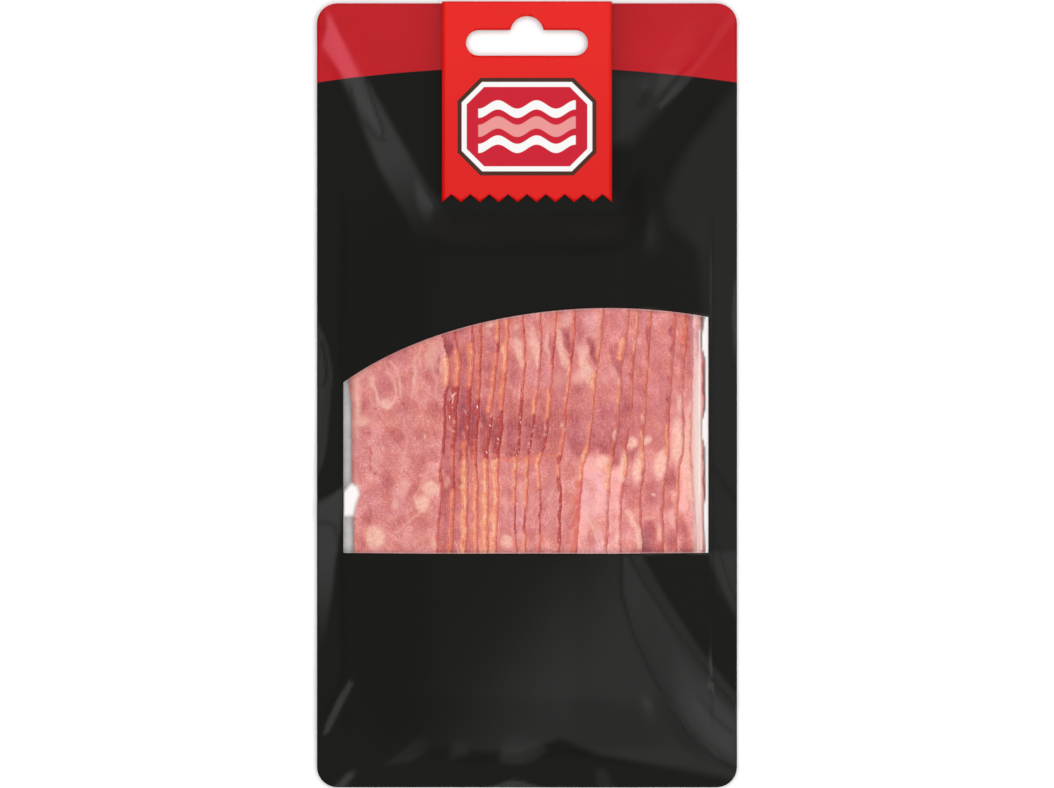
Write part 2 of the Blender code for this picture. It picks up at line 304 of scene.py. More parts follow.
# The top slice's left side and the lowest slice's right side, as heights and places across
firstLeft = (
    (-60, -42, -30, -20, -8, -3, 3, 9, 24),
    (-45.9, -45.4, -45.6, -45.9, -45.95, -46.0, -46.6, -46.8, -45.9),
)
lastRight = (
    (-50, -42, -36, -30, -27, -14, -11, -7, -4, 8, 11, 14, 20, 24),
    (46.6, 46.7, 46.4, 46.2, 46.6, 46.4, 45.8, 45.9, 46.5, 46.5, 46.2, 45.7, 45.9, 46.0),
)


edgeShape = {
    # how far each kind of wave goes, and the lengths that it's made of
    "hidden": 0.375,
    "slow": 0.11,
    "slowLengths": (17, 9.1, 4.3),
    "ragged": 0.05,
    "raggedLengths": (2.1, 1.3, 0.9),
}


def leftEdge(k, y):
    # the top slice's is measured; the others lie hidden and follow a plain wave
    if k == 1:
        return np.interp(y, *firstLeft)
    wave = edgeShape["hidden"] * np.sin(y / 11 + 0.9 * (k - 1))
    return stack["firstLeft"] + stack["leftStep"] * (k - 1) + wave


# the measured edges on a fine line of heights, rounded off by a bell
edgeLine = np.arange(-104, 104, 0.25)
edgeKernel = np.exp(-0.5 * (np.arange(-12, 13) / 4.5) ** 2)
edgeKernel /= edgeKernel.sum()
edgeCurve = {}
for k, places in edgeAt.items():
    straight = np.interp(edgeLine, *(lastRight if k == 18 else (edgeHeights, places)))
    edgeCurve[k] = np.convolve(np.pad(straight, 12, mode="edge"), edgeKernel, mode="valid")


def rightEdge(k, y):
    # through the measured places, with a slow wave and a little raggedness
    size = 0.85 + 0.3 * (0.37 * k % 1)
    lengths = [length * size for length in edgeShape["slowLengths"]]
    slow = edgeShape["slow"] * ripple(y, 700 + k, lengths)
    ragged = edgeShape["ragged"] * ripple(y, 720 + k, edgeShape["raggedLengths"])
    return np.interp(y, edgeLine, edgeCurve[k]) + slow + ragged


def layersUnder(k, x):
    # how many slices lie under this one, which may be part of one on the slope between two
    left = stack["firstLeft"] + stack["leftStep"] * (k - 1)
    return np.clip((x - left) / stack["leftStep"], 0, stack["count"] - k)


def stackTop(x, y):
    # the topmost slice's upper face at each place
    top = np.full(np.broadcast(x, y).shape, 0.9)
    for k in range(1, stack["count"] + 1):
        there = (x >= leftEdge(k, y)) & (x <= rightEdge(k, y))
        top = np.where(there, np.maximum(top, stack["base"] + stack["pitch"] * (layersUnder(k, x) + 1)), top)
    return top


# The two films

film = {
    "halfWidth": 55,
    "bottom": -103,
    "top": 102.3,
    "cornerRadius": 5.3,
    "sealMiddle": 1.4,
    "sealSide": 5.7,
    "sealCurl": 0.45,
    "ripple": 0.35,
    "footX": 47.6,
    "innerX": 49.3,
    "footTop": 34.5,
    "footBottom": -76.5,
    "slopeTop": 16.5,
    "slopeAside": 13,
    "slopeBottom": 21,
    "thick": 0.22,
    "apart": 0.02,
    "tightFade": 7,
    "above": 0.1,
    "backFollow": 0.9,
    "unevenness": 0.05,
    "paneThick": 0.16,
    "paneEdge": 0.06,
    "bond": 0.28,
    "bondWidth": 0.4,
}
window = {
    "left": -48.06,
    "right": 47.5,
    "foot": -41.6,
    "archX": 21.7,
    "archTop": 22.4,
    "archRadiusX": 91.7,
    "archRadiusY": 55.2,
}

# Folds in the film: a line as x, y, height, x, y, height ..., its width, and which side runs out softly
folds = {
    "topLeft": ([-53.7, 101, 0.5, -49, 90, 0.8, -44.3, 79.6, 0.9, -39, 69.1, 0.7, -33.3, 60, 0.3, -28, 50.8,
        0], 2, 1),
    "topRight": ([54.7, 100, 0.6, 45.3, 87, 0.8, 40.9, 82.2, 0.9, 36.9, 77.5, 0.8, 33.5, 73.1, 0], 1.7, -1),
    "topRightLow": ([54.7, 80.9, 0.6, 48.5, 72.3, 0.8, 42.7, 65.2, 0.8, 39, 58.7, 0.6, 36, 49, 0], 2.4, -1),
    "foldA": ([24.6, -42.4, 0.2, 24.4, -51.3, 0.4, 27.5, -61.8, 0.6, 32.2, -72.3, 0.8, 37.5, -81.5, 1, 42.7,
        -89.3, 1, 49.2, -95.3, 0.8, 54.5, -98, 0.5], 1.2, 1),
    "foldB": ([26.5, -42.4, 0.2, 30.9, -50, 0.5, 36.1, -57.9, 0.8, 42.7, -67, 0.9, 48.5, -74.9, 0.9, 54.5,
        -81.5, 0.8], 1.4, -1),
    "left": ([-54.7, 18.1, 0.2, -51.8, 11.5, 0.4, -50.8, 5, 0.5, -51.6, -1.6, 0.5, -52.4, -12, 0.5, -54.5,
        -22, 0.2], 1.3, -1),
    "leftGlare": ([-54.7, -30, 0.6, -51, -27.5, 0.7, -48.2, -25.8, 0.5], 1.3, 1),
    "lowLeft": ([-46.4, -75.7, 0.4, -49.8, -81.5, 0.8, -52.9, -87.5, 0.4], 1.1, 1),
    "foot": ([-38.5, -97.2, 0.1, -29.3, -92, 0.5, -25.4, -91.1, 0.2, -20.4, -95, 0.1, -14.9, -93.8, 0.5,
        -7.1, -96.4, 0.2, -1.8, -96.6, 0.5, 8.6, -91.1, 0.7, 13.9, -92, 0.5, 18.3, -94.3, 0.4, 29.6, -96.4,
        0.5, 40.1, -98, 0.4, 54.5, -101, 0.2], 1.3, -1),
}

# Painted sheen, a painted highlight added to the film's colour: an outline as x, y, x, y ..., its soft edge,
# its strength, and where it fades from full to nothing, if it does
paintedSheens = [
    ([-53.6, 103, -51.8, 101, -42.4, 83, -35.4, 70.4, -28.3, 57.9, -20.5, 46, -12, 30, -22, 30, -31.2, 46,
     -39, 60, -45.8, 77, -49.2, 83.5, -54.6, 91, -52.6, 96], 1.9, 0.8, (-33, 67, -19, 39)),
    ([-52.6, 98, -51.8, 100, -42.2, 80, -37.7, 67.3, -43, 74, -50, 86, -53.4, 91], 0.9, 0.35),
    ([22.5, 84, 40, 84, 38.5, 79, 32.2, 71.8, 27, 65.7, 22.6, 66], 5, 0.42),
    ([23, 104, 48, 104, 40, 84, 38, 80, 24, 80], 5, 0.22, (40, 95, 22, 95)),
    ([-24, 51, 27, 51, 27, 40, -20, 38, -24, 42], 6, 0.1),
    ([30, 80, 42, 98, 52, 101, 40, 84, 34, 78], 1.8, 0.3),
    ([44.5, 90, 55.2, 103, 55.2, 98, 41.4, 80.5, 35.1, 74.6, 34.3, 75.6, 38.5, 80.9], 1, 0.6),
    ([55.2, 81.5, 48.5, 72.3, 42.7, 65.2, 39, 58.7, 36, 51, 37.5, 44.5, 44.5, 38, 46.1, 24, 46.6, -2, 47.2,
     -30, 48.5, -43.5, 50.6, -51.3, 58, -62, 60, 81], 4.5, 0.27),
    ([55.2, 32, 54.2, 28, 53.8, 20, 54.4, 12, 55.2, 8], 0.9, 0.8),
    ([47.1, -41.5, 55.2, -41.5, 55.2, -59.2, 51, -50.8], 1.2, 0.35),
    ([-30, -38, 24.4, -38, 24.3, -51.3, 27.4, -61.8, 32.1, -72.3, 37.4, -81.5, 42.6, -89.3, 49.2, -95.3,
     54.5, -98.5, 54.5, -101, 40.1, -98, 18.3, -94.3, 8.6, -90, -2, -94, -30, -92], 2.4, 0.45,
     (18, -76, -8, -58)),
    ([-30, -43, 12, -43, 12, -88, -5, -93, -16, -92, -34, -94], 6, 0.1, (-2, -78, -26, -62)),
    ([24.8, -42, 26.5, -42, 30.8, -50, 36, -57.9, 42.6, -67, 48.4, -74.9, 55.2, -82, 55.2, -98, 49.3, -95.2,
     42.8, -89.2, 37.6, -81.4, 32.3, -72.2, 27.6, -61.8, 24.8, -51.3], 1.2, 0.52),
    ([27, -42, 30, -42, 36.5, -53.5, 45.3, -67, 55.2, -79, 55.2, -81.8, 48.6, -74.8, 42.8, -67, 36.3, -57.9,
     31, -50], 1, 0.42),
    ([38, -66, 55.2, -86, 55.2, -96, 47, -91, 40, -80], 5, 0.5, (50, -90, 34, -60)),
    ([-55.2, 20, -52.2, 12.5, -50.9, 5.3, -51.6, -1.6, -52.4, -12, -53.2, -17, -55.2, -22.5], 1, 0.6),
    ([-55.2, -28.5, -51, -26.2, -48.2, -24.4, -48.2, -30, -49.5, -41, -50.2, -43, -51.3, -54, -53.4, -66,
     -55.2, -70], 1.4, 0.85, (-50, -40, -54, -72)),
    ([-46.4, -74.6, -45.6, -76, -51.9, -88.5, -53.4, -89.5, -52.6, -86.4, -49.2, -79], 0.8, 0.8),
    ([-46.8, -99, -44.6, -99, -48, -103.2, -50.6, -103.2], 0.8, 0.9),
    ([-37, -97.2, -33, -93.8, -27, -89, -24.7, -92.5, -30, -96], 1.6, 0.3, (-30, -95, -24, -88)),
    ([-20.4, -95.7, -19.1, -90, -15.4, -90, -14.9, -94.6], 1.8, 0.3, (-18, -94, -17, -88)),
    ([-7.1, -96.2, -6, -89, 1, -88, 5.5, -93.5, 1, -96.6, -4.5, -97.2], 1.6, 0.36, (0, -95, 0, -87)),
    ([-10.5, -103.2, -3.5, -101, 4.5, -103.2], 0.8, 0.8),
    ([17.8, -98.2, 20.4, -98.2, 22.8, -103.2, 18.6, -103.2], 1.2, 0.25),
]

# Thin lines along the folds where the painted sheen is cut away, so they show dark: x, y, x, y ..., half
# width and strength
darkLines = [
    ([-46.4, 81.5, -44.5, 73.1, -39.5, 67.3, -37.3, 66.3, -38.3, 71, -40.6, 77, -42.5, 83], 0.45, 0.5),
    ([24.6, -42.4, 24.4, -51.3, 27.5, -61.8, 32.2, -72.3, 37.5, -81.5, 42.7, -89.3, 49.2, -95.3, 54.5, -98],
     0.5, 0.5),
    ([26.5, -42.4, 30.9, -50, 36.1, -57.9, 42.7, -67, 48.5, -74.9, 54.5, -81.5], 0.45, 0.5),
    ([48.7, -19.1, 51, -22.5, 54.7, -27.8], 0.9, 0.5),
    ([48.2, -33, 51, -43.5, 55, -55.3], 0.4, 0.5),
    ([33.5, 84, 32.5, 80, 30, 76], 1.6, 0.4),
    ([31.5, 47, 31.5, 42, 32.5, 36], 2.2, 0.4),
    ([-53.8, 14, -52.8, 9, -52.5, 5, -53.5, 2], 0.5, 0.7),
    ([-54.8, -34.2, -52.6, -33.4, -50.4, -34.6, -49.4, -38, -49.2, -42], 0.8, 0.4),
    ([45, -79, 48.5, -84, 53.5, -88.5], 0.9, 0.35),
]


def sealMiddle(x, y):
    # the height at which the two films meet, with long ripples at the sides and the foot
    side = smooth((np.abs(x) - 27) / 20)
    sideRipple = np.sin(y / 13 + 2 * np.sign(x)) * np.cos(y / 29)
    footRipple = smooth((-93.5 - y) / 8) * np.sin(x / 12)
    curl = film["sealCurl"] * np.clip((np.abs(x) - film["halfWidth"]) / film["sealSide"] + 0.5, -0.5, 0.5)
    return film["sealMiddle"] - curl + film["ripple"] * (side * sideRipple + (1 - side) * footRipple)


def fullness(x, y):
    # 1 over the slices, 0 where the films meet
    across = 1 - smooth((np.abs(x) - film["footX"]) / (film["innerX"] - film["footX"]))
    slopeTop = film["slopeTop"] + film["slopeAside"] * smooth((np.abs(x) - 23) / 9)
    up = 1 - smooth((y - film["footTop"]) / slopeTop)
    down = 1 - smooth((film["footBottom"] - y) / film["slopeBottom"])
    return across * up * down


def archHeight(x):
    # top - radiusY * (1 - sqrt(1 - (x / radiusX)^2))
    reach = (np.clip(x, window["left"], window["right"]) - window["archX"]) / window["archRadiusX"]
    return window["archTop"] - window["archRadiusY"] * (1 - np.sqrt(1 - reach ** 2))


def insideWindow(x, y):
    # distance inside the window's outline, negative outside
    across = np.minimum(x - window["left"], window["right"] - x)
    return np.minimum(across, np.minimum(y - window["foot"], archHeight(x) - y))


def makeTables():
    # the stack's height on a regular grid, widened and softened: once loosely and once drawn tight
    stepX, stepY = 0.3, 1.0
    lineX = np.arange(-60, 60.01, stepX)
    lineY = np.arange(-104, 104.01, stepY)
    heights = stackTop(lineX[None, :], lineY[:, None])

    def widen(table, reach):
        count = int(round(reach / stepX))
        wide = np.pad(table, ((0, 0), (count, count)), mode="edge")
        return np.max([wide[:, i:i + table.shape[1]] for i in range(2 * count + 1)], axis=0)

    def soften(table, width, axis):
        step = (stepY, stepX)[axis]
        count = max(1, int(round(3 * width / step)))
        kernel = np.exp(-0.5 * (np.arange(-count, count + 1) * step / width) ** 2)
        kernel /= kernel.sum()
        pads = [(0, 0), (0, 0)]
        pads[axis] = (count, count)
        wide = np.pad(table, pads, mode="edge")
        size = table.shape[axis]
        return sum(w * np.take(wide, range(i, i + size), axis=axis) for i, w in enumerate(kernel))

    loose = np.tile(heights.max(axis=0), (len(lineY), 1))
    loose = soften(widen(loose, 3.6), 2.0, 1)
    tight = soften(soften(widen(heights, 1.2), 0.6, 1), 1.5, 0)
    return lineX, lineY, loose, tight


lineX, lineY, looseTable, tightTable = makeTables()


def lookUp(table, x, y):
    # between the table's four nearest places
    fx = np.clip((x - lineX[0]) / (lineX[1] - lineX[0]), 0, len(lineX) - 1.001)
    fy = np.clip((y - lineY[0]) / (lineY[1] - lineY[0]), 0, len(lineY) - 1.001)
    ix, iy = fx.astype(int), fy.astype(int)
    tx, ty = fx - ix, fy - iy
    low = table[iy, ix] * (1 - tx) + table[iy, ix + 1] * tx
    high = table[iy + 1, ix] * (1 - tx) + table[iy + 1, ix + 1] * tx
    return low * (1 - ty) + high * ty


def foldLift(x, y):
    # every fold: height * exp(-(distance / width)^2), twice as wide on its soft side
    total = np.zeros(x.shape)
    for row, width, softSide in folds.values():
        away, side, height = lineDistance(x, y, row)
        reach = np.where(side == softSide, 2 * width, width)
        total = np.maximum(total, height * np.exp(-(away / reach) ** 2))
    return total


def insideOutline(x, y, row):
    # distance inside a closed outline given as x, y, x, y ..., negative outside
    away = awayFrom(x, y, row + row[:2])
    outline = grouped(row)
    within = np.zeros(x.shape, bool)
    for (ax, ay), (bx, by) in zip(outline, outline[1:] + outline[:1]):
        if ay != by:
            within ^= ((ay > y) != (by > y)) & (x < (bx - ax) * (y - ay) / (by - ay) + ax)
    return np.where(within, away, -away)


def paintedSheenAt(x, y):
    # the painted sheen: the sum of its places, less along the dark lines
    total = np.zeros(x.shape)
    for row, soft, strength, *fades in paintedSheens:
        share = strength * smooth(insideOutline(x, y, row) / soft + 0.5)
        for ax, ay, bx, by in fades:
            along = ((x - ax) * (bx - ax) + (y - ay) * (by - ay)) / ((bx - ax) ** 2 + (by - ay) ** 2)
            share *= 1 - smooth(along)
        total += share
    for row, half, strength in darkLines:
        total *= 1 - strength * (1 - smooth(awayFrom(x, y, row) / half - 0.3))
    return total


labelShade = {
    "from": 22.25,
    "strength": 0.36,
    "reach": 2.6,
    "bottom": 48,
    "soft": 6,
}


def shadeAt(x, y):
    # painted shadow of the label on the film beside it: 1 - strength * exp(-distance / reach)
    beside = np.maximum(np.abs(x) - labelShade["from"], 0)
    along = smooth((y - labelShade["bottom"]) / labelShade["soft"])
    return 1 - labelShade["strength"] * np.exp(-beside / labelShade["reach"]) * along


def frontInside(x, y):
    # the front film's inner side: over the slices, down to the seal, and drawn tight in the window
    middle = sealMiddle(x, y)
    drawnTight = smooth(insideWindow(x, y) / film["tightFade"])
    over = lookUp(looseTable, x, y) * (1 - drawnTight) + lookUp(tightTable, x, y) * drawnTight
    full = fullness(x, y)
    inWindow = smooth(1 + insideWindow(x, y) / 2)
    lift = foldLift(x, y) * (1 - inWindow) + film["unevenness"] * wobble(x, y, 14, 3) * full
    return middle + full * (over + film["above"] - middle) + film["apart"] + lift


def backInside(x, y):
    # the back film's inner side: flat under the slices and up to the seal
    middle = sealMiddle(x, y)
    full = fullness(x, y) ** 0.5
    follow = film["backFollow"] * foldLift(x, y) * (1 - full)
    return middle + full * (film["thick"] - middle) - film["apart"] * (1 - full) + follow


# Materials

filmPaint = {
    "black": (0.0074, 0.0074, 0.0066, 1),
    "red": (0.400, 0.0010, 0.0060, 1),
    "redLight": (0.430, 0.0020, 0.0080, 1),
    # the painted sheen's tone, added to the colour: faint on the black, stronger on the red
    "paintedSheenTone": (0.024, 0.024, 0.024),
    "paintedSheenOnRed": (0.078, 0.026, 0.036),
    "clear": (0.985, 0.985, 0.985, 1),
    # the white of the painted glare
    "glareWhite": (0.92, 0.89, 0.875, 1),
    "lining": (0.43, 0.43, 0.435, 1),
    "liningLight": (0.53, 0.525, 0.525, 1),
    "bandTop": 0.0856,
    "bandRadius": 0.375,
    "roughness": 0.3,
}


def coat(tree, shader, outputs, strength, distance):
    # a group's colour, roughness and height on the shader
    bump = put(tree, "Bump", {"Strength": strength, "Distance": distance, "Height": outputs["Height"]})
    feed(tree, shader.inputs, {"Base Color": outputs["Color"], "Roughness": outputs["Roughness"],
                               "Normal": bump.outputs[0]})


def makeFilmGroup():
    # red above a wide arc across the top, black below; a painted sheen added to the colour and painted shade
    # beside the label; the sheen also raises the roughness; small waves for the bump
    sockets = {"Place": "Vector", "Sheen": "Float", "Shade": "Float"}
    tree, given, out = newGroup("filmPrint", sockets)
    place = given["Place"]
    axes = put(tree, "SeparateXYZ", {0: place}).outputs
    bend = calc(tree, "DIVIDE", times(tree, axes["X"], axes["X"]), 2 * filmPaint["bandRadius"])
    above = minus(tree, add(tree, axes["Y"], bend), filmPaint["bandTop"])
    band = fade(tree, above, -0.0001, 0.0001)
    uneven = noise(tree, place, 60, 4, 0.6)
    red = blend(tree, fade(tree, uneven, 0.3, 0.7), filmPaint["red"], filmPaint["redLight"])
    # the ink, darkened by the painted shadow beside the label
    ink = scaled(tree, blend(tree, band, filmPaint["black"], red), given["Shade"])
    faint = scaled(tree, filmPaint["paintedSheenTone"], given["Sheen"])
    strong = scaled(tree, filmPaint["paintedSheenOnRed"], calc(tree, "POWER", given["Sheen"], 3.0))
    paintedSheenTone = blend(tree, band, faint, strong)
    feed(tree, out, {
        "Color": put(tree, "VectorMath", {0: ink, 1: paintedSheenTone}, operation="ADD").outputs[0],
        "Roughness": add(tree, filmPaint["roughness"], times(tree, given["Sheen"], 0.05)),
        "Height": noise(tree, place, 120, 2, 0.5),
    })
    return tree


def makeFilmMaterials():
    group = makeFilmGroup()
    printed, tree, shader = newMaterial("printedFilm", (0.011, 0.011, 0.0105), 0.3)
    place = objectPlace(tree)
    paintedSheenAndShade = put(tree, "SeparateColor", {0: painted(tree, "paintedSheenAndShade", "Color")}).outputs
    ink = put(tree, "Group", node_tree=group)
    feed(tree, ink.inputs, {"Place": place, "Sheen": paintedSheenAndShade[0], "Shade": paintedSheenAndShade[1]})
    coat(tree, shader, ink.outputs, 0.03, 0.001)

    lining, tree, shader = newMaterial("filmLining", (0.55, 0.54, 0.54), 0.35)
    place = objectPlace(tree)
    cloudy = fade(tree, noise(tree, place, 180, 4, 0.6), 0.3, 0.7)
    tone = blend(tree, cloudy, filmPaint["lining"], filmPaint["liningLight"])
    feed(tree, shader.inputs, {"Base Color": tone})

    clear = bpy.data.materials.new("clearFilm")
    clear.use_nodes = True
    clear.diffuse_color = (0.85, 0.87, 0.88, 0.3)
    tree = clear.node_tree
    tree.nodes.remove(tree.nodes["Principled BSDF"])
    place = objectPlace(tree)
    waves = noise(tree, place, 260, 3, 0.5, 0.8)
    bent = put(tree, "Bump", {"Strength": 0.08, "Distance": 0.001, "Height": waves}).outputs[0]
    through = put(tree, "BsdfTransparent", {"Color": filmPaint["clear"]})
    gloss = put(tree, "BsdfAnisotropic", {"Color": (1, 1, 1, 1), "Roughness": 0.12, "Normal": bent})
    # the painted glare: a white diffuse layer mixed in where the film is painted pale
    glareWhite = put(tree, "BsdfDiffuse", {"Color": filmPaint["glareWhite"]})
    withGlare = put(tree, "MixShader", {0: painted(tree, "glareAndBond"), 1: through.outputs[0], 2: glareWhite.outputs[0]})
    edge = put(tree, "Fresnel", {"IOR": 1.45, "Normal": bent}).outputs[0]
    outward = minus(tree, 1.0, put(tree, "NewGeometry").outputs["Backfacing"])
    share = times(tree, edge, outward)
    mixed = put(tree, "MixShader", {0: share, 1: withGlare.outputs[0], 2: gloss.outputs[0]})
    tree.links.new(mixed.outputs[0], tree.nodes["Material Output"].inputs["Surface"])
    return printed, lining, clear


meatPaint = {
    # place on the ramp, colour
    "lean": ((0.0, (0.91, 0.460, 0.450, 1)), (0.45, (0.69, 0.239, 0.222, 1)),
             (0.95, (0.475, 0.112, 0.121, 1)), (1.2, (0.34, 0.072, 0.086, 1))),
    "mauve": (0.98, 0.985, 1.045, 1),
    "salmon": (1.02, 1.00, 0.935, 1),
    "fat": (0.92, 0.57, 0.465, 1),
    "fatDull": (0.84, 0.42, 0.340, 1),
    "rim": ((0.15, (0.55, 0.062, 0.052, 1)), (0.40, (0.72, 0.145, 0.092, 1)), (0.62, (0.80, 0.255, 0.148, 1)),
            (0.86, (0.85, 0.355, 0.205, 1)), (1.18, (0.92, 0.56, 0.39, 1))),
    "crust": (0.31, 0.026, 0.036, 1),
    "crustLight": (0.57, 0.100, 0.085, 1),
    "paintedGlint": (0.95, 0.80, 0.74, 1),
}


meatNoise = {
    # scale, detail, roughness and distortion
    "cloud": (300, 4, 0.6, 0.5),
    "tint": (190, 2, 0.5, 0.3),
    "grain": (1300, 3, 0.6, 0.2),
    "fine": (2600, 2, 0.6, 0.0),
    "fibre": (1000, 3, 0.55, 0.5),
    "streak": (2100, 3, 0.65, 0.3),
}


def colourRamp(tree, value, stops, top=1.2):
    # colours at places from 0 to top
    ramp = put(tree, "ValToRGB", {0: calc(tree, "DIVIDE", value, top)})
    ends = ramp.color_ramp.elements
    for element, (place, tone) in zip(ends, (stops[0], stops[-1])):
        element.position, element.color = place / top, tone
    for place, tone in stops[1:-1]:
        ends.new(place / top).color = tone
    return ramp.outputs[0]


def swayed(tree, value, *noises):
    # value + each noise's (noise - 0.5) * amount
    for source, amount in noises:
        value = add(tree, value, times(tree, minus(tree, source, 0.5), amount))
    return value


def makeMeatGroup():
    # lean from pale to deep with cloudy marbling, then fat, then the smoked edge, then its dark crust,
    # then small painted glints on the crust
    sockets = {"Place": "Vector", "Fat": "Float", "Lean": "Float", "Gold": "Float", "Warmth": "Float",
               "Crust": "Float", "Seed": "Float"}
    tree, given, out = newGroup("curedMeat", sockets)
    place, seed = given["Place"], given["Seed"]
    cloud, grain, fine = [noise(tree, place, *meatNoise[name], seed) for name in ("cloud", "grain", "fine")]
    tint = noise(tree, place, *meatNoise["tint"], add(tree, seed, 31.0))
    lie = calc(tree, "MULTIPLY_ADD", calc(tree, "SINE", seed), 0.35, -0.45)
    turned = put(tree, "VectorRotate", {"Vector": place, "Angle": lie}, rotation_type="Z_AXIS").outputs[0]
    fibre = noise(tree, stretched(tree, turned, 0.12), *meatNoise["fibre"], seed)
    streak = noise(tree, stretched(tree, place, 0.13), *meatNoise["streak"], seed)
    uneven = swayed(tree, 0.0, (cloud, 0.75), (fibre, 0.35), (grain, 0.6), (fine, 1.0))
    calmer = fade(tree, given["Lean"], 0.0, 0.45, 0.55, 1.0)
    depth = calc(tree, "MULTIPLY_ADD", uneven, calmer, given["Lean"])
    grained = times(tree, swayed(tree, 0.0, (streak, 0.9)), fade(tree, given["Lean"], 0.5, 0.9))
    colour = colourRamp(tree, add(tree, depth, grained), meatPaint["lean"])
    shift = blend(tree, fade(tree, tint, 0.35, 0.65), meatPaint["mauve"], meatPaint["salmon"])
    colour = blend(tree, 1.0, colour, shift, "MULTIPLY")
    marbled = swayed(tree, given["Fat"], (grain, 0.6), (cloud, 0.5), (fine, 0.5))
    fatty = blend(tree, fade(tree, grain, 0.35, 0.65), meatPaint["fatDull"], meatPaint["fat"])
    colour = blend(tree, fade(tree, marbled, 0.06, 1.10, 0.0, 0.95), colour, fatty)
    warm = swayed(tree, given["Warmth"], (streak, 1.3), (fine, 1.7))
    gold = swayed(tree, given["Gold"], (streak, 0.8), (fine, 0.8))
    reach = calc(tree, "MULTIPLY_ADD", given["Warmth"], 0.30, 0.62)
    gold = times(tree, fade(tree, gold, 0.12, 0.85), reach)
    gold = times(tree, gold, fade(tree, given["Gold"], 0.0, 0.12))
    colour = blend(tree, gold, colour, colourRamp(tree, warm, meatPaint["rim"]))
    dark = blend(tree, fade(tree, fine, 0.38, 0.62), meatPaint["crust"], meatPaint["crustLight"])
    crust = swayed(tree, given["Crust"], (streak, 2.6))
    crust = times(tree, fade(tree, crust, 0.15, 0.70, 0.0, 0.88), fade(tree, given["Crust"], 0.0, 0.15))
    colour = blend(tree, crust, colour, dark)
    # small pale painted glints scattered over the crust
    spotted = {"Vector": stretched(tree, turned, 0.4), "Scale": 1500.0, "W": seed}
    spots = put(tree, "TexVoronoi", spotted, voronoi_dimensions="4D").outputs[0]
    paintedGlint = times(tree, fade(tree, spots, 0.19, 0.33, 0.9, 0.0), fade(tree, given["Crust"], 0.45, 0.75))
    feed(tree, out, {
        "Color": blend(tree, paintedGlint, colour, meatPaint["paintedGlint"]),
        "Roughness": fade(tree, grain, 0.3, 0.7, 0.34, 0.48),
        "Height": add(tree, times(tree, fibre, 0.5), times(tree, grain, 0.5)),
    })
    return tree


def makeMeatMaterial():
    made, tree, shader = newMaterial("curedBacon", (0.60, 0.20, 0.19), 0.4)
    place = objectPlace(tree)
    meat = put(tree, "Group", node_tree=makeMeatGroup())
    marks = put(tree, "Attribute", attribute_name="marks")
    axes = put(tree, "SeparateColor", {0: marks.outputs["Color"]}).outputs
    feed(tree, meat.inputs, {
        "Place": place, "Fat": axes[0], "Gold": axes[1], "Crust": axes[2], "Lean": marks.outputs["Alpha"],
        "Warmth": painted(tree, "warmth"), "Seed": painted(tree, "seed"),
    })
    coat(tree, shader, meat.outputs, 0.25, 0.0003)
    return made


labelPaint = {
    "low": (0.610, 0.0035, 0.0025, 1),
    "high": (0.665, 0.0075, 0.0050, 1),
    "brown": (0.058, 0.020, 0.012, 1),
    "white": (0.79, 0.78, 0.77, 1),
    "crimson": (0.50, 0.0030, 0.020, 1),
    "pink": (0.70, 0.26, 0.25, 1),
    "badgeMiddle": 0.0700,
    "badgeHalfWidth": 0.0182,
    "badgeHalfHeight": 0.0128,
    "badgeCorner": 0.0250,
    # how far outside the badge's body each field ends, colour
    "fields": ((0.0, "brown"), (-0.0011, "white"), (-0.0024, "crimson")),
    # height over the badge's middle, half width, colour
    "rashers": ((0.0046, 0.0012, "white"), (0.0, 0.0016, "pink"), (-0.0046, 0.0012, "white")),
    "rasherWave": 0.0011,
    "rasherPace": 620.0,
}


def makeLabelMaterial():
    # a plain badge with cut corners and three wavy rashers, printed on a red card
    made, tree, shader = newMaterial("redLabel", (0.77, 0.018, 0.014), 0.35)
    place = objectPlace(tree)
    axes = put(tree, "SeparateXYZ", {0: place}).outputs
    card = blend(tree, fade(tree, axes["Y"], 0.05, 0.103), labelPaint["low"], labelPaint["high"])
    acrossBadge = calc(tree, "ABSOLUTE", axes["X"])
    upBadge = minus(tree, axes["Y"], labelPaint["badgeMiddle"])
    upright = calc(tree, "ABSOLUTE", upBadge)
    slant = minus(tree, add(tree, acrossBadge, upright), labelPaint["badgeCorner"])
    outside = calc(tree, "MAXIMUM", minus(tree, acrossBadge, labelPaint["badgeHalfWidth"]),
                   minus(tree, upright, labelPaint["badgeHalfHeight"]))
    outside = calc(tree, "MAXIMUM", outside, times(tree, slant, math.sqrt(0.5)))
    colour = card
    soft = 0.00008
    for reach, tone in labelPaint["fields"]:
        inField = fade(tree, outside, reach - soft, reach + soft, 1.0, 0.0)
        colour = blend(tree, inField, colour, labelPaint[tone])
    wave = calc(tree, "SINE", times(tree, axes["X"], labelPaint["rasherPace"]))
    line = minus(tree, upBadge, times(tree, wave, labelPaint["rasherWave"]))
    nearEnd = fade(tree, acrossBadge, 0.0126, 0.0129, 1.0, 0.0)
    soft = 0.0001
    for height, half, tone in labelPaint["rashers"]:
        away = calc(tree, "ABSOLUTE", minus(tree, line, height))
        stripe = times(tree, fade(tree, away, half - soft, half + soft, 1.0, 0.0), nearEnd)
        colour = blend(tree, stripe, colour, labelPaint[tone])
    front = fade(tree, axes["Z"], 0.00145, 0.0016)
    paper = noise(tree, place, 900, 3, 0.6)
    bump = put(tree, "Bump", {"Strength": 0.05, "Distance": 0.0002, "Height": paper})
    feed(tree, shader.inputs, {
        "Base Color": blend(tree, front, card, colour),
        "Roughness": fade(tree, paper, 0.3, 0.7, 0.33, 0.42),
        "Normal": bump.outputs[0],
    })
    return made


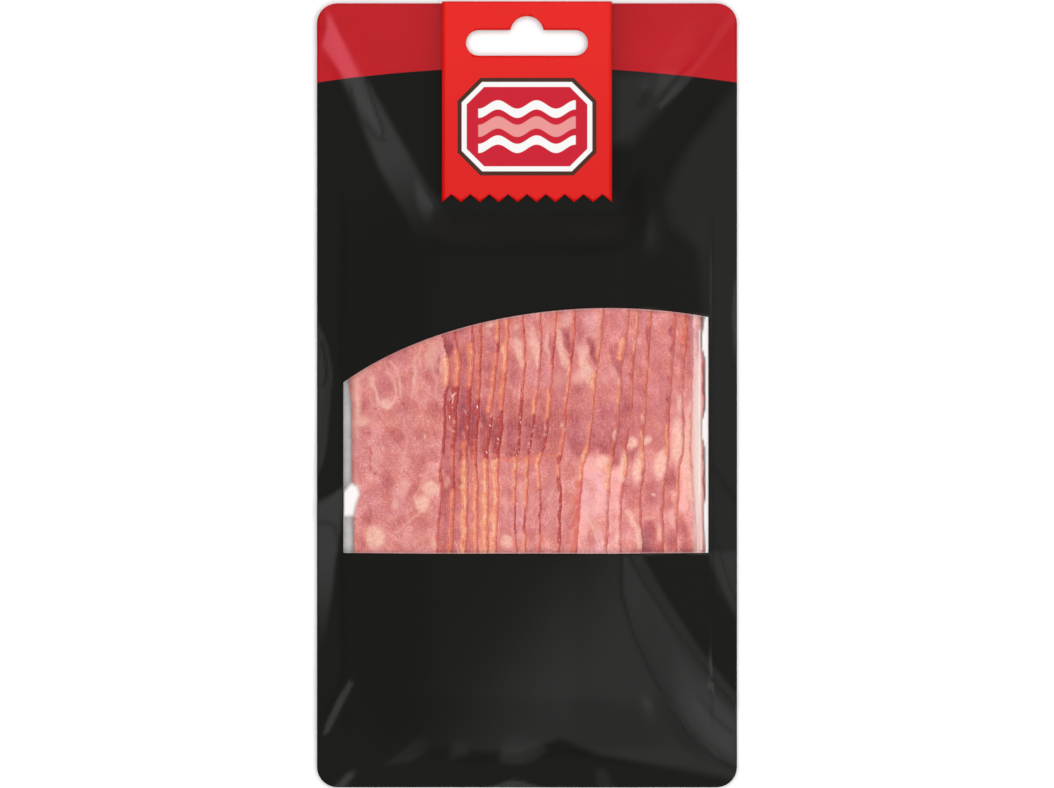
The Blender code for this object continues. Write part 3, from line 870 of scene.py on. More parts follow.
print("materials")
printedFilm, filmLining, clearFilm = makeFilmMaterials()
curedBacon = makeMeatMaterial()
redLabel = makeLabelMaterial()


# Pouch and window

hangSlot = {
    "halfWidth": 16,
    "radius": 3.375,
    "middle": 91.95,
    "domeMiddle": 94.6,
    "domeRadius": 4.4,
}


def packGrid(columnsX, *counts):
    # x and y of every grid point: round the bottom corners, up to the window's foot, its arch and the top,
    # in so many rows each, and round the top corners; also which rows lie on the foot and on the arch
    cornerRows = 8
    turn = np.linspace(np.pi / 2, 0, cornerRows)
    radius, low, high = film["cornerRadius"], film["bottom"], film["top"]
    corner = radius * (1 - np.sin(turn))
    inset = radius * (1 - np.cos(turn))
    level = np.ones(len(columnsX))
    arch = archHeight(columnsX)
    rows = [level * (low + rise) for rise in corner]
    levels = [level * (low + radius), level * window["foot"], arch, level * (high - radius)]
    ends = []
    for start, end, count in zip(levels, levels[1:], counts):
        rows += [start + t * (end - start) for t in np.linspace(0, 1, count + 1)[1:]]
        ends.append(len(rows) - 1)
    rows += [level * (high - rise) for rise in corner[::-1][1:]]
    pulled = np.zeros(len(rows))
    pulled[:cornerRows] = inset
    pulled[-cornerRows:] = inset[::-1]
    x = columnsX[None, :] * (1 - pulled / film["halfWidth"])[:, None]
    return x, np.array(rows), ends[0], ends[1]


def slotOutline():
    # a slot with round ends, and a dome in the middle of its upper side
    def arc(across, up, radius, start, end, count):
        turn = np.linspace(start, end, count)
        return list(zip(across + radius * np.cos(turn), up + radius * np.sin(turn)))

    radius, middle = hangSlot["radius"], hangSlot["middle"]
    reach = hangSlot["halfWidth"] - radius
    start = math.asin((middle + radius - hangSlot["domeMiddle"]) / hangSlot["domeRadius"])
    right = arc(reach, middle, radius, -math.pi / 2, math.pi / 2, 13)
    dome = arc(0, hangSlot["domeMiddle"], hangSlot["domeRadius"], start, math.pi - start, 17)
    return right + dome + arc(-reach, middle, radius, math.pi / 2, 3 * math.pi / 2, 13)


def paintFilm(piece, x, y, used, plain=False):
    # the painted sheen and the painted shadow beside the label, at every point of both sides
    sheen = np.zeros(x.shape) if plain else paintedSheenAt(x, y)
    side = np.stack([sheen, shadeAt(x, y), sheen, np.ones(x.shape)], -1).reshape(-1, 4)
    paint(piece, "paintedSheenAndShade", np.concatenate([side, side])[used])


def makePouch():
    # the front with its window left out, and the plain back
    beside, across = 11, 130
    columnsX = np.concatenate([
        np.linspace(-film["halfWidth"], window["left"], beside + 1),
        np.linspace(window["left"], window["right"], across + 1)[1:-1],
        np.linspace(window["right"], film["halfWidth"], 13),
    ])
    x, y, footRow, archRow = packGrid(columnsX, 84, 60, 106)
    inner = frontInside(x, y)
    upper = np.stack([x, y, inner + film["thick"]], -1)
    lower = np.stack([x, y, inner], -1)
    keep = np.ones((x.shape[0] - 1, x.shape[1] - 1), bool)
    keep[footRow:archRow, beside:beside + across] = False
    front, used = closedSheet("pouchFront", upper, lower, [printedFilm, filmLining], keep)
    paintFilm(front, x, y, used)
    cutOut(front, slotOutline())

    backX = np.linspace(-film["halfWidth"], film["halfWidth"], 72)
    x, y, _, _ = packGrid(backX, 36, 40, 50)
    inside = backInside(x, y)
    upper = np.stack([x, y, inside], -1)
    lower = np.stack([x, y, np.maximum(inside - film["thick"], 0)], -1)
    back, used = closedSheet("pouchBack", upper, lower, [filmLining, printedFilm])
    paintFilm(back, x, y, used, plain=True)
    cutOut(back, slotOutline())
    return front, back


# Painted glare in the clear film, laid in as a white layer along the window's left and right sides:
# an outline as x, y, x, y ..., its soft edge and its strength
paintedGlarePlaces = [
    ([-48.2, -25.9, -45.9, -23.4, -44.4, -24.2, -43.8, -26.2, -44.8, -28.9, -45.4, -31.8, -48.2, -32], 1.5,
     0.9),
    ([42.9, 30, 45.3, 30, 45.3, -48, 43.4, -48], 1.2, 0.17),
    ([44.5, 10, 45.2, -4, 45.2, -24, 44.5, -42, 43.8, -24, 43.7, -4], 1.6, 0.34),
    ([45, 17, 45.4, 17, 45.5, -24, 45.8, -41, 45.4, -41, 45, -24], 0.5, 0.55),
    ([46.7, 24, 46.6, 20, 45.9, 15.5, 45.8, 12, 46.6, 9.5, 46.7, -4, 45.9, -7, 45.8, -11, 46.6, -14, 46.7,
     -27, 46.2, -30, 46.5, -36, 46.7, -42, 48, -42, 48, 24], 0.4, 0.85),
]


def glareAndBondAt(x, y):
    # painted glare, and a thin pale line where the clear film is bonded along the arch and the foot
    clear = np.ones(x.shape)
    for row, soft, strength in paintedGlarePlaces:
        clear *= 1 - strength * smooth(insideOutline(x, y, row) / soft + 0.5)
    bond = np.minimum(archHeight(x) - y, y - window["foot"])
    clear *= 1 - film["bond"] * (1 - smooth(bond / film["bondWidth"]))
    return 1 - clear


def makeWindow():
    # a hair inside the window's edge, on a finer grid of its own
    edge = film["paneEdge"]
    columnsX = np.linspace(window["left"] + edge, window["right"] - edge, 210)
    rise = np.linspace(0, 1, 146)[:, None]
    y = window["foot"] + edge + rise * (archHeight(columnsX)[None, :] - edge - window["foot"] - edge)
    x = np.tile(columnsX, (len(rise), 1))
    inner = frontInside(x, y)
    upper = np.stack([x, y, inner + film["paneThick"]], -1)
    pane, used = closedSheet("windowFilm", upper, np.stack([x, y, inner], -1), [clearFilm])
    glareAndBond = glareAndBondAt(x, y).ravel()
    paint(pane, "glareAndBond", np.concatenate([glareAndBond, np.zeros(glareAndBond.size)])[used])
    return pane


print("films")
pouchFront, pouchBack = makePouch()
windowFilm = makeWindow()
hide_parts("pouch")
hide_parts("pouch")
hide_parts("window_film")
filmPieces = (pouchFront, "printed_film"), (pouchBack, "printed_film"), (windowFilm, "clear_film")
for piece, slotName in filmPieces:
    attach(piece, "root")


# Label

label = {
    "width": 44.5,
    "end": 50.2,
    "teeth": 9,
    "toothDepth": 2.1,
    "middle": 1.62,
    "inner": 0.33,
    "thick": 0.26,
    "lift": 0.12,
    "liftFrom": 6,
    "foldOuter": 0.56,
    "foldInner": 0.3,
}


def makeLabel():
    # a path up the front leg, round the fold and down the back leg, carried across the label
    high = film["top"]
    turn = np.linspace(np.pi / 2, -np.pi / 2, 9)
    up = np.linspace(label["end"], high, 44)[:-1]

    def path(offset, bulge):
        y = np.concatenate([up, high + bulge * np.cos(turn), up[::-1]])
        z = np.concatenate([np.full(len(up), offset), offset * np.sin(turn), np.full(len(up), -offset)])
        return y, label["middle"] + z

    x = np.linspace(-label["width"] / 2, label["width"] / 2, 4 * label["teeth"] + 1)
    tooth = np.abs((np.arange(len(x)) / 4 + 0.5) % 1 - 0.5) * 2 * label["toothDepth"]
    grids = []
    outer = label["inner"] + label["thick"]
    for offset, bulge in ((outer, label["foldOuter"]), (label["inner"], label["foldInner"])):
        y, z = path(offset, bulge)
        gridX = np.tile(x, (len(y), 1))
        gridY = np.tile(y[:, None], (1, len(x)))
        gridZ = np.tile(z[:, None], (1, len(x)))
        nearEnd = (label["end"] + label["liftFrom"] - gridY) / label["liftFrom"]
        gridZ = gridZ + np.where(gridZ > label["middle"], 1, -1) * label["lift"] * smooth(nearEnd)
        gridY = gridY + tooth[None, :] * np.clip(nearEnd, 0, 1)
        grids.append(np.stack([gridX, gridY, gridZ], -1))
    made, _ = closedSheet("redLabelCard", grids[0], grids[1], [redLabel])
    cutOut(made, slotOutline())
    return made


print("label")
labelCard = makeLabel()
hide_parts("hang_label")
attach(labelCard, "root")


# Slices: what shows on each one, in millimetres

# Depth of the lean in the upper part, at the middle and in the lower part
leanDepth = {
    1: (0.42, 0.44, 0.42), 2: (0.7, 0.76, 0.66), 3: (0.66, 0.76, 0.68), 4: (0.62, 0.74, 0.56),
    5: (0.58, 0.54, 0.48), 6: (0.56, 0.67, 0.45), 7: (0.47, 0.46, 0.43), 8: (0.43, 0.5, 0.42),
    9: (0.45, 0.62, 0.46), 10: (0.48, 0.66, 0.46), 11: (0.38, 0.6, 0.4), 12: (0.5, 0.74, 0.1),
    13: (0.55, 0.8, 0.12), 14: (0.54, 0.66, 0.4), 15: (0.53, 0.67, 0.42), 16: (0.54, 0.42, 0.36),
    17: (0.6, 0.32, 0.18), 18: (0.1, 0.04, 0),
}

# Smoked edges: stretches of (from y, to y, width, warmth, crust)
rims = {
    1: [(13.1, 15.7, 0.7, 0.5, 0.1), (10.2, 12.8, 0.4, 0.1, 0.6), (2.6, 9.4, 2.1, 0.98, 0),
        (-15.2, 1.6, 0.8, 0.35, 0.75), (-15.2, -12, 1, 0.25, 0.6), (-18.9, -16.2, 0.8, 0.6, 0.1),
        (-23, -19.4, 1, 0.35, 0.4), (-30.4, -23.6, 0.8, 0.5, 0.2), (-33, -30.9, 0.9, 0.35, 0.5),
        (-41.4, -33.5, 0.9, 0.55, 0.1)],
    2: [(12.8, 19.9, 0.8, 0.5, 0.3), (2.1, 11, 2.1, 0.8, 0.1), (-6.8, 1.6, 2.4, 0.25, 1),
        (-13.6, -6.8, 1.6, 0.5, 0.55), (-21, -14.7, 0.9, 0.55, 0.3), (-24.1, -21, 1.3, 0.35, 0.9),
        (-41.4, -24.6, 1.6, 0.7, 0.18)],
    3: [(14.1, 18.1, 0.8, 0.45, 0.4), (2.1, 13.6, 2.1, 0.74, 0.15), (-12, 1.6, 1.3, 0.3, 0.8),
        (-17.3, -12, 2.1, 0.72, 0.3), (-41.4, -17.8, 2.4, 0.98, 0)],
    4: [(15.5, 18.9, 0.8, 0.6, 0.3), (5.2, 14.9, 1.4, 0.56, 0.3), (-1, 5, 1.4, 0.64, 0.25),
        (-11, -1.6, 1.3, 0.25, 0.9), (-19.9, -12, 1.6, 0.62, 0.3), (-41.4, -20.4, 1.8, 0.82, 0.05)],
    5: [(13.6, 19.4, 1.3, 0.85, 0.1), (11, 13.4, 1, 0.3, 0.6), (1.6, 10.5, 1.7, 0.68, 0.15),
        (-4.7, 1.6, 1.7, 0.74, 0), (-16.2, -5.2, 1.2, 0.3, 0.95), (-41.4, -17.3, 2.4, 0.95, 0)],
    6: [(13.6, 19.4, 1.3, 0.8, 0.1), (6.3, 12.8, 2.1, 0.9, 0), (-4.2, 5.8, 1.8, 0.66, 0.1),
        (-16.2, -4.7, 1.3, 0.25, 1), (-41.4, -17.3, 2.4, 0.95, 0)],
    7: [(15.7, 20.4, 0.9, 0.6, 0.3), (7.9, 15.2, 0.9, 0.6, 0.2), (-1, 7.3, 0.9, 0.6, 0.25),
        (-15.7, -1.6, 0.9, 0.25, 0.9), (-21.5, -16.5, 1.6, 0.92, 0), (-28.8, -22, 1, 0.75, 0.1),
        (-36.1, -29.3, 0.5, 0.3, 0.55), (-40.9, -36.7, 1, 0.7, 0.1)],
    8: [(14.1, 21, 0.7, 0.55, 0.2), (6.3, 13.6, 0.6, 0.35, 0.4), (1.6, 5.8, 0.8, 0.6, 0.1),
        (-5.2, 1, 1.3, 0.85, 0), (-15.7, -5.8, 0.8, 0.28, 0.9), (-29.9, -17.3, 1.2, 0.85, 0.15),
        (-35.6, -30.4, 0.7, 0.25, 0.5), (-41.4, -36.1, 1, 0.8, 0)],
    9: [(16.2, 21.5, 1, 0.65, 0.15), (6.8, 15.7, 0.7, 0.25, 0.5), (1.6, 6.3, 0.8, 0.6, 0.1),
        (-6.3, 1, 1.3, 0.82, 0), (-14.7, -6.8, 0.8, 0.28, 0.9), (-18.9, -15.7, 1.8, 0.8, 0),
        (-24.4, -19.4, 1, 0.88, 0), (-35.6, -25.1, 0.6, 0.3, 0.55), (-40.9, -37.2, 1, 0.7, 0.1)],
    10: [(14.1, 21.5, 0.7, 0.6, 0.2), (7.9, 13.6, 0.5, 0.35, 0.4), (-1.6, 7.3, 0.8, 0.85, 0),
        (-7.9, -2.1, 0.7, 0.55, 0.2), (-15.2, -8.4, 0.9, 0.65, 0.1), (-17.8, -16.2, 0.8, 0.5, 0.6),
        (-21.5, -18.1, 1, 0.85, 0.2), (-38.2, -22, 0.7, 0.3, 0.6)],
    11: [(15.2, 21.5, 0.6, 0.5, 0.2), (6.8, 14.7, 0.7, 0.85, 0), (1.6, 4.7, 1.3, 0.95, 0),
        (-13.1, 1, 0.6, 0.7, 0.1), (-18.9, -13.6, 1.3, 0.9, 0), (-22.5, -19.1, 1, 0.9, 0.1),
        (-40.9, -23, 1.8, 0.32, 0.1)],
    12: [(15.2, 21.5, 0.5, 0.6, 0.1), (8.9, 14.7, 1.6, 0.9, 0), (4.7, 8.4, 0.7, 0.2, 0.5),
        (-2.1, 2.4, 0.9, 0.85, 0), (-8.9, -2.6, 0.5, 0.6, 0.1), (-16.2, -13.6, 0.8, 0.3, 0.4),
        (-24.6, -16.5, 1.3, 0.95, 0), (-40.9, -25.7, 0.7, 0.3, 0.1)],
    13: [(12.8, 21.5, 0.7, 0.88, 0), (10.7, 12.6, 0.8, 0.8, 0), (3.7, 10.2, 0.7, 0.3, 0.4),
        (-0.5, 3.1, 0.7, 0.7, 0), (-6.3, -1, 0.5, 0.6, 0.1), (-14.7, -10, 0.6, 0.4, 0.3),
        (-21, -15.2, 0.9, 0.95, 0), (-33, -22, 0.7, 0.3, 0.4)],
    14: [(17.8, 21.5, 0.7, 0.75, 0.1), (14.1, 17.3, 0.8, 0.2, 0.4), (8.9, 12, 0.8, 0.5, 0.4),
        (-4.7, 8.4, 0.6, 0.65, 0.1), (-14.7, -10, 0.9, 0.75, 0.1), (-18.9, -15.2, 0.9, 0.95, 0),
        (-35.1, -19.9, 0.7, 0.3, 0.45)],
    15: [(17.8, 20.4, 0.7, 0.5, 0.1), (-2.1, 5.8, 0.5, 0.3, 0.2), (-15.2, -8.4, 1, 0.82, 0),
        (-33.5, -25.1, 0.6, 0.35, 0.5)],
    16: [(17.8, 20.4, 1, 0.65, 0), (13.9, 16, 1.3, 0.7, 0), (10, 11.8, 0.8, 0.65, 0),
        (1.6, 3.7, 0.8, 0.2, 0.4), (-30.9, -19.9, 0.7, 0.65, 0.1)],
    17: [(-41.4, 21.5, 0.5, 0.3, 0)],
    18: [(-41.4, 16.8, 0.5, 0, 0)],
}

# Fat and deep lean: (x, y, half width, half height, amount, and a clockwise turn in degrees if any)
fatMarks = {
    1: [(-44.5, -4.2, 0.8, 10.5, 0.62), (-45.8, -6.8, 0.4, 15.7, 0.35), (-36.7, -2.6, 1.8, 1.8, 0.75),
        (-24.9, 10.2, 1.8, 4.2, 0.5, 15), (-29.1, 3.1, 0.8, 4.7, 0.45, -6), (-34.3, -28.8, 1.3, 1.3, 0.6),
        (-32, -24.4, 1.3, 3.4, 0.45, 10), (-25, -24.6, 2.5, 2.1, 0.95, -10),
        (-27.2, -28.5, 2, 2.2, 0.95, 20), (-39.7, -37.5, 2.7, 3.1, 1), (-24.1, -38.5, 1.3, 2.1, 0.6),
        (-43, -6.8, 1.3, 1.6, 0.5), (-31.2, -38.2, 2.4, 1.8, 0.35), (-39.5, -17.8, 1.6, 2.1, 0.35),
        (-21.2, 7.3, 1.6, 3.7, 0.7), (-42.4, 5.8, 0.8, 2.4, 0.35, 20)],
    2: [(-20.7, -22.8, 0.8, 1.6, 0.5)],
    4: [(-13.9, 12.8, 0.5, 1, 0.5)],
    5: [(-9.7, 18.1, 1.8, 1, 0.73), (-10.2, 16, 0.9, 1, 0.47)],
    6: [(-11.8, -38.2, 0.8, 2.4, 0.5)],
    7: [(-2.6, 17.3, 1, 1, 0.52), (-1.8, 11, 1.2, 4.7, 0.82, -14), (-3.4, 13.4, 1.3, 1.8, 0.52, -20),
        (-5.2, -38.5, 2, 2.1, 0.95), (-5.5, -27.8, 0.8, 3.7, 0.35)],
    8: [(1, 16.5, 0.8, 1.3, 0.52), (2.4, 11.5, 1.2, 5.8, 0.82, -8), (0.8, 11.5, 0.8, 3.7, 0.43, -5),
        (0, 2.9, 1, 1.3, 0.3), (-1.3, -27.8, 0.9, 3.1, 0.45), (-1.6, -23.8, 0.8, 2.1, 0.4)],
    9: [(5.2, 12.8, 0.8, 4.7, 0.6, -6), (5.8, 17.8, 1, 1.3, 0.34), (5, 4.2, 1, 2.1, 0.3),
        (1.3, -27.8, 0.8, 4.2, 0.35)],
    10: [(10, 19.1, 1.8, 2.4, 0.52), (8.6, 12.6, 1.1, 5.2, 0.86, -6), (10, 8.4, 1.3, 2.4, 0.69, -20),
        (8.6, 3.9, 1.8, 2.4, 0.39), (6.3, -25.1, 1, 5.2, 0.3, 8)],
    11: [(14.7, 8.4, 1.3, 5.2, 0.82, -12), (16, 5.2, 1.8, 2.4, 0.77, -15), (13.4, 4.2, 1.8, 2.1, 0.6),
        (17, 19.4, 2.1, 2.6, 0.3), (17, 15.5, 1.8, 0.9, 0.43)],
    12: [(22.5, 5.8, 1.2, 2.4, 0.47, -20), (19.9, 4.2, 1.6, 1.6, 0.34), (24.4, 3.1, 0.8, 1, 0.69),
        (23.2, -11, 0.7, 1.8, 0.85), (19.6, -17.8, 1.6, 1.7, 0.95), (19.9, -39.3, 1, 1.3, 0.8),
        (21, -21.2, 1.6, 3.7, 0.7, 10), (16.5, -33, 1.3, 4.2, 0.35, -30)],
    13: [(26.6, -7.9, 0.7, 1.6, 0.85), (27.2, -12.8, 1.6, 2.1, 0.3), (25.1, -18.6, 1.3, 4.5, 0.95, 8),
        (23.8, -37.2, 0.9, 2.6, 0.95), (23.6, -21.2, 0.8, 2.1, 0.3)],
    14: [(27.5, -12.8, 1.7, 2, 0.85, 12), (29.3, -18.9, 1.7, 4.7, 0.95, 14), (30.6, -6.5, 0.6, 1.6, 0.85),
        (29.1, -36.7, 1, 2.4, 0.4)],
    15: [(31.4, -12.3, 1.4, 2.1, 0.8, 8), (35.1, -18.1, 2, 4.5, 0.95, 14), (32.2, -32.5, 2.1, 0.8, 0.5, -8),
        (34.6, -36.4, 1, 2.9, 0.65), (34.3, -8.9, 1, 2.1, 0.3)],
    16: [(40.3, -1.6, 0.9, 3.9, 0.75), (39.5, -12.6, 2, 7.1, 0.95), (38.2, -32.2, 1.6, 2.4, 0.6),
        (41.4, 15.5, 0.7, 1, 0.43)],
    17: [(42.7, -15.2, 1.6, 14.7, 0.95), (41.1, -19.9, 0.8, 10.5, 0.5)],
    18: [(44.9, -19.9, 1.4, 25.1, 1), (44.5, -9.4, 0.8, 13.1, 0.9), (46.4, 18.1, 0.5, 2.1, 0.43)],
}
leanMarks = {
    1: [(-37.2, 2.4, 2.1, 2.9, 0.27, 10), (-25.7, 4.7, 1.3, 2.1, 0.35), (-23.4, 9.2, 0.6, 0.7, 0.6),
        (-23, 5.8, 0.5, 1, 0.6), (-31.7, -2.9, 2.4, 3.1, 0.3), (-23.8, -5.2, 2.4, 3.1, 0.28),
        (-42.2, -1.8, 0.9, 2.9, 0.4), (-33.9, -10.2, 2.6, 2.4, 0.38, 20), (-27.8, -10, 1.8, 1.6, 0.3),
        (-36.4, -23.8, 1.6, 4.5, 0.4), (-26.2, -33.8, 3.1, 2.6, 0.3, 30), (-41.8, -31.7, 1.6, 2.4, 0.4),
        (-43.7, -38.5, 1.3, 2.6, 0.4), (-33.8, 11.5, 4.2, 2.1, 0.3, -30), (-30.1, -15.2, 4.2, 2.1, 0.15)],
    2: [(-20.7, 12.3, 1.6, 2.4, 1), (-21, -27.8, 1.3, 10.5, 0.4)],
    3: [(-16.8, -9.4, 1.6, 8.4, 0.9), (-17.3, -21.2, 1.3, 6.5, 0.6), (-16.2, 6.3, 1.3, 6.5, 0.3)],
    4: [(-14.1, -9.4, 0.8, 7.9, 0.9)],
    5: [(-10.2, 8.9, 1.6, 6.3, 0.3), (-11, -9.4, 1.3, 7.9, 0.9), (-11.3, -29.1, 0.5, 0.8, 0.3)],
    6: [(-6.3, 4.2, 0.8, 1.6, 0.7), (-7.9, -10.7, 1.3, 6.8, 0.95)],
    7: [(-3.7, 6.8, 1.3, 3.7, 0.35), (-3.9, -8.9, 2.1, 8.9, 0.55), (-4.5, -16, 1, 1, 0.5)],
    8: [(0.5, -8.9, 1.6, 7.9, 0.5)],
    9: [(6.3, 11, 0.5, 4.7, 0.5, -5), (3.7, -8.9, 1.6, 7.3, 0.5)],
    10: [(10.9, 12.6, 0.9, 3.7, 1, -16), (7.6, -9.4, 1.8, 6.8, 0.4)],
    11: [(17.4, 10.7, 1.1, 3.9, 1, -18), (13.4, 16.8, 1.3, 4.2, 0.3), (13.9, -13.6, 2.6, 3.1, 0.5),
        (12.3, -8.1, 1.6, 5.2, 0.2)],
    12: [(23.3, 8.9, 1.4, 3.9, 0.55, -12), (20.7, -13.6, 2.4, 2.6, 0.75, -15), (19.6, 16.8, 2.6, 4.2, 0.2),
        (16.5, -37.7, 1.3, 2.4, 0.3), (18.9, -37.2, 3.1, 6.3, 0.2)],
    13: [(25.9, 12.8, 0.8, 3.1, 0.4), (23.3, -16.8, 0.7, 1.3, 0.4), (22.3, -35.1, 1.8, 6.8, 0.2)],
    14: [(31.4, 16, 0.7, 2.1, 0.6), (27.2, -25.7, 2.1, 4.7, 0.35, 8), (29.1, 5, 1, 3.7, 0.2)],
    15: [(38.1, 16.5, 0.6, 1.8, 0.8), (38, 11.8, 0.6, 1.8, 0.8), (37.2, 4.2, 0.3, 0.5, 1),
        (36.8, -1.3, 0.3, 0.5, 1), (32.2, -25.7, 1.8, 3.9, 0.45), (31.4, -38.2, 2.4, 5.2, 0.9, 15),
        (33.8, -41.4, 2.4, 2.9, 0.8), (35.1, 7.6, 2.1, 5.2, 0.15)],
    16: [(40.7, 13.4, 0.6, 1, 0.7), (37.6, -22.8, 1.8, 3.1, 0.8, 10), (36.9, -29.1, 1.6, 2.1, 0.4),
        (37.7, -38.5, 1.6, 3.1, 0.6), (40.6, 8.4, 0.8, 3.1, 0.3)],
    17: [(42.2, 11.5, 1, 9.4, 0.4), (40.6, -35.6, 1.6, 4.2, 0.6, -10), (42.2, -40.1, 2.4, 3.4, 0.8, -15),
        (42.2, -0.3, 0.8, 3.1, 0.2)],
    18: [(46.5, 4.2, 0.5, 9.4, 0.8), (46.5, -22.5, 0.4, 9.4, 0.8, -1), (45.7, -39.5, 0.5, 2.4, 0.4),
        (45, 16.8, 1, 6.8, 0.4)],
}

# Thin lines of fat, of lean and of browned fat: (half width, amount, x, y, x, y ...)
fatLines = {
    1: [(0.4, 0.55, -40.6, 11.5, -40.3, 6.8, -40.1, 1, -38.5, -2.6),
        (0.4, 0.5, -35.4, 8.4, -33.3, 4.2, -33, -1), (0.4, 0.45, -27.8, 12.6, -29.6, 6.8, -29.9, -0.5),
        (0.3, 0.4, -24.9, -17.8, -26.5, -21.2, -29.1, -27.2),
        (0.3, 0.5, -28, -30.4, -31.2, -34, -34.8, -36.4), (0.3, 0.4, -37.5, 11, -36.4, 5.8, -34.3, 0.5),
        (0.3, 0.35, -40.6, -6.8, -38.5, -10, -37.5, -15.2),
        (0.3, 0.35, -32, -6.8, -31.2, -12, -32.7, -17.8), (0.3, 0.3, -44.8, -19.9, -43.7, -27.8, -40.6,
        -33), (0.3, 0.35, -29.6, -39.5, -27, -37.2, -23.8, -35.9),
        (0.6, 0.45, -45, 3.4, -44.8, -0.3, -44.5, -4.2), (0.3, 0.4, -24.9, 7.3, -23.6, 2.6, -23.8, -1),
        (0.3, 0.5, -40.1, 6, -40.6, 2.6, -39.3, -1.3, -36.7, -3.1, -34.8, -1.8, -34.3, 1.3, -35.1, 4.7,
        -37.5, 6.3), (0.2, 0.8, -35.4, -14.9, -34.8, -14.9), (0.2, 0.7, -27, -11.3, -26.7, -10.7), (0.3,
        0.35, -38.5, -5.2, -35.6, -8.1, -32.2, -9.7), (0.3, 0.35, -33.3, 2.6, -30.4, -0.5, -26.7, -2.9),
        (0.3, 0.3, -29.6, -7.9, -26.5, -12, -25.4, -16.2), (0.3, 0.35, -39.3, -13.6, -35.6, -15.5, -31.4,
        -15.2), (0.3, 0.3, -43.2, -14.1, -41.6, -17.8, -38.2, -20.2), (0.3, 0.3, -36.9, -33, -33.3, -31.2,
        -30.1, -27.8), (0.3, 0.35, -42.7, 2.6, -43.5, -2.1, -42.7, -7.9)],
    2: [(0.2, 0.9, -19.9, 0, -18.9, -1.8), (0.2, 0.9, -18.6, 0.5, -19.4, -2.6),
        (0.2, 0.8, -21.2, -6.3, -21, -8.1), (0.2, 0.8, -20.4, -8.4, -19.1, -10),
        (0.2, 0.8, -21.5, -3.4, -21.2, -4.2), (0.2, 0.7, -19.1, -6.3, -19.1, -7.6)],
    3: [(0.2, 1, -18.9, -38.2, -18.3, -40.1, -18.1, -41.6), (0.2, 0.8, -16.8, -4.2, -16, -5.2),
        (0.2, 0.7, -15.7, -7.9, -15.7, -9.2), (0.2, 0.7, -16.8, -10.5, -16.2, -11.5)],
    5: [(0.2, 0.8, -9.4, -5, -9.2, -6)],
    7: [(0.2, 0.9, -2.1, -11.3, -0.5, -10.5)],
    8: [(0.2, 0.75, 1, -10.2, 1.8, -9.2), (0.2, 0.9, 0.8, -12.8, 0.8, -13.9)],
    9: [(0.2, 0.4, 0.3, -31.7, 2.4, -28.8, 3.7, -27.8), (0.2, 0.75, 4.7, -8.9, 5, -10.5),
        (0.2, 1, 4.5, -12.8, 4.5, -13.9), (0.2, 0.3, 0.8, -39.5, 2.6, -34.3, 3.4, -31.7)],
    10: [(0.2, 0.35, 4.7, -29.1, 7.1, -24.6, 8.4, -22), (0.2, 0.3, 5, -38.2, 6.5, -33, 8.1, -29.3),
        (0.2, 0.75, 9.2, -7.6, 9.2, -8.6), (0.2, 0.75, 9.7, -8.9, 9.7, -9.7),
        (0.2, 0.3, 5.5, -33, 7.6, -28.5, 8.6, -25.7)],
    11: [(0.2, 0.4, 9.7, -31.7, 11.8, -27.8, 13.9, -24.6), (0.2, 0.35, 9.7, -38.2, 11.3, -33, 13.4, -29.1),
        (0.2, 0.35, 11, -40.3, 12.3, -35.6, 13.6, -33), (0.2, 0.3, 9.2, -35.1, 11.3, -29.9, 13.6, -26.2)],
    12: [(0.2, 0.7, 14.9, -30.9, 16.5, -33, 18.1, -38.2), (0.2, 0.6, 15.5, -30.9, 18.1, -29.6, 19.6, -26.5),
        (0.2, 0.4, 16, -39.5, 15.2, -35.6, 14.9, -30.9)],
    14: [(0.8, 0.75, 26.2, -30.6, 27.8, -33.3, 29.1, -36.4, 29.6, -40.3)],
    15: [(0.2, 0.3, 30.1, -29.9, 32.2, -28.8, 34, -29.6), (0.2, 0.3, 30.1, -31.2, 32.2, -30.1, 34, -30.9),
        (0.2, 1, 32.5, -26.7, 33, -27), (0.2, 0.8, 33.8, -22, 33.8, -22.5)],
    17: [(0.2, 0.75, 41.9, -21, 42.2, -21.5), (0.3, 0.4, 42.7, 3.7, 43.2, -12, 43.5, -27.8)],
}
leanLines = {
    1: [(1.6, 0.55, -27.2, -16.8, -29.3, -23.8, -32.5, -30.9, -34.3, -35.1), (0.2, 0.9, -41.1, -13.6, -40.9,
        -16.2, -41.4, -19.4), (0.3, 0.5, -26.7, 11, -27.2, 8.4, -26.2, 2.6),
        (0.2, 0.8, -39.8, -4.2, -37.7, -3.9, -35.6, -4.2), (0.3, 1, -32.7, -2.1, -32.2, -2.4),
        (0.3, 0.9, -43.5, -9.2, -43, -9.4), (0.3, 0.9, -41.9, -9.7, -41.6, -10),
        (0.3, 1, -39.8, -20.2, -39.5, -20.2)],
    17: [(0.4, 0.42, 41.6, -6.8, 41.9, -19.9, 42.4, -31.7), (0.3, 0.38, 43, 16.8, 42.7, -1.6, 43.2, -14.7)],
}
goldLines = {
    6: [(0.5, 0.6, -8.9, -15.7, -7.6, -16.2)],
    7: [(0.7, 0.75, -6.3, -16.8, -4.7, -17.5, -3.1, -17)],
    8: [(0.7, 0.8, -2.4, -16.5, -1, -17.3, 0.3, -16.5)],
    9: [(0.7, 0.8, 1, -17, 3.1, -16.2, 5, -15.2)],
    10: [(0.6, 0.85, 5.5, -16, 7.6, -15.7, 9.2, -14.7)],
    11: [(0.4, 0.8, 13.6, -16.8, 14.7, -18.1, 14.9, -19.9)],
    12: [(0.3, 0.8, 22.8, -12.3, 22, -14.4, 21.7, -16.8)],
    13: [(0.3, 0.7, 23.6, -12, 24.9, -13.6, 25.9, -14.7)],
}


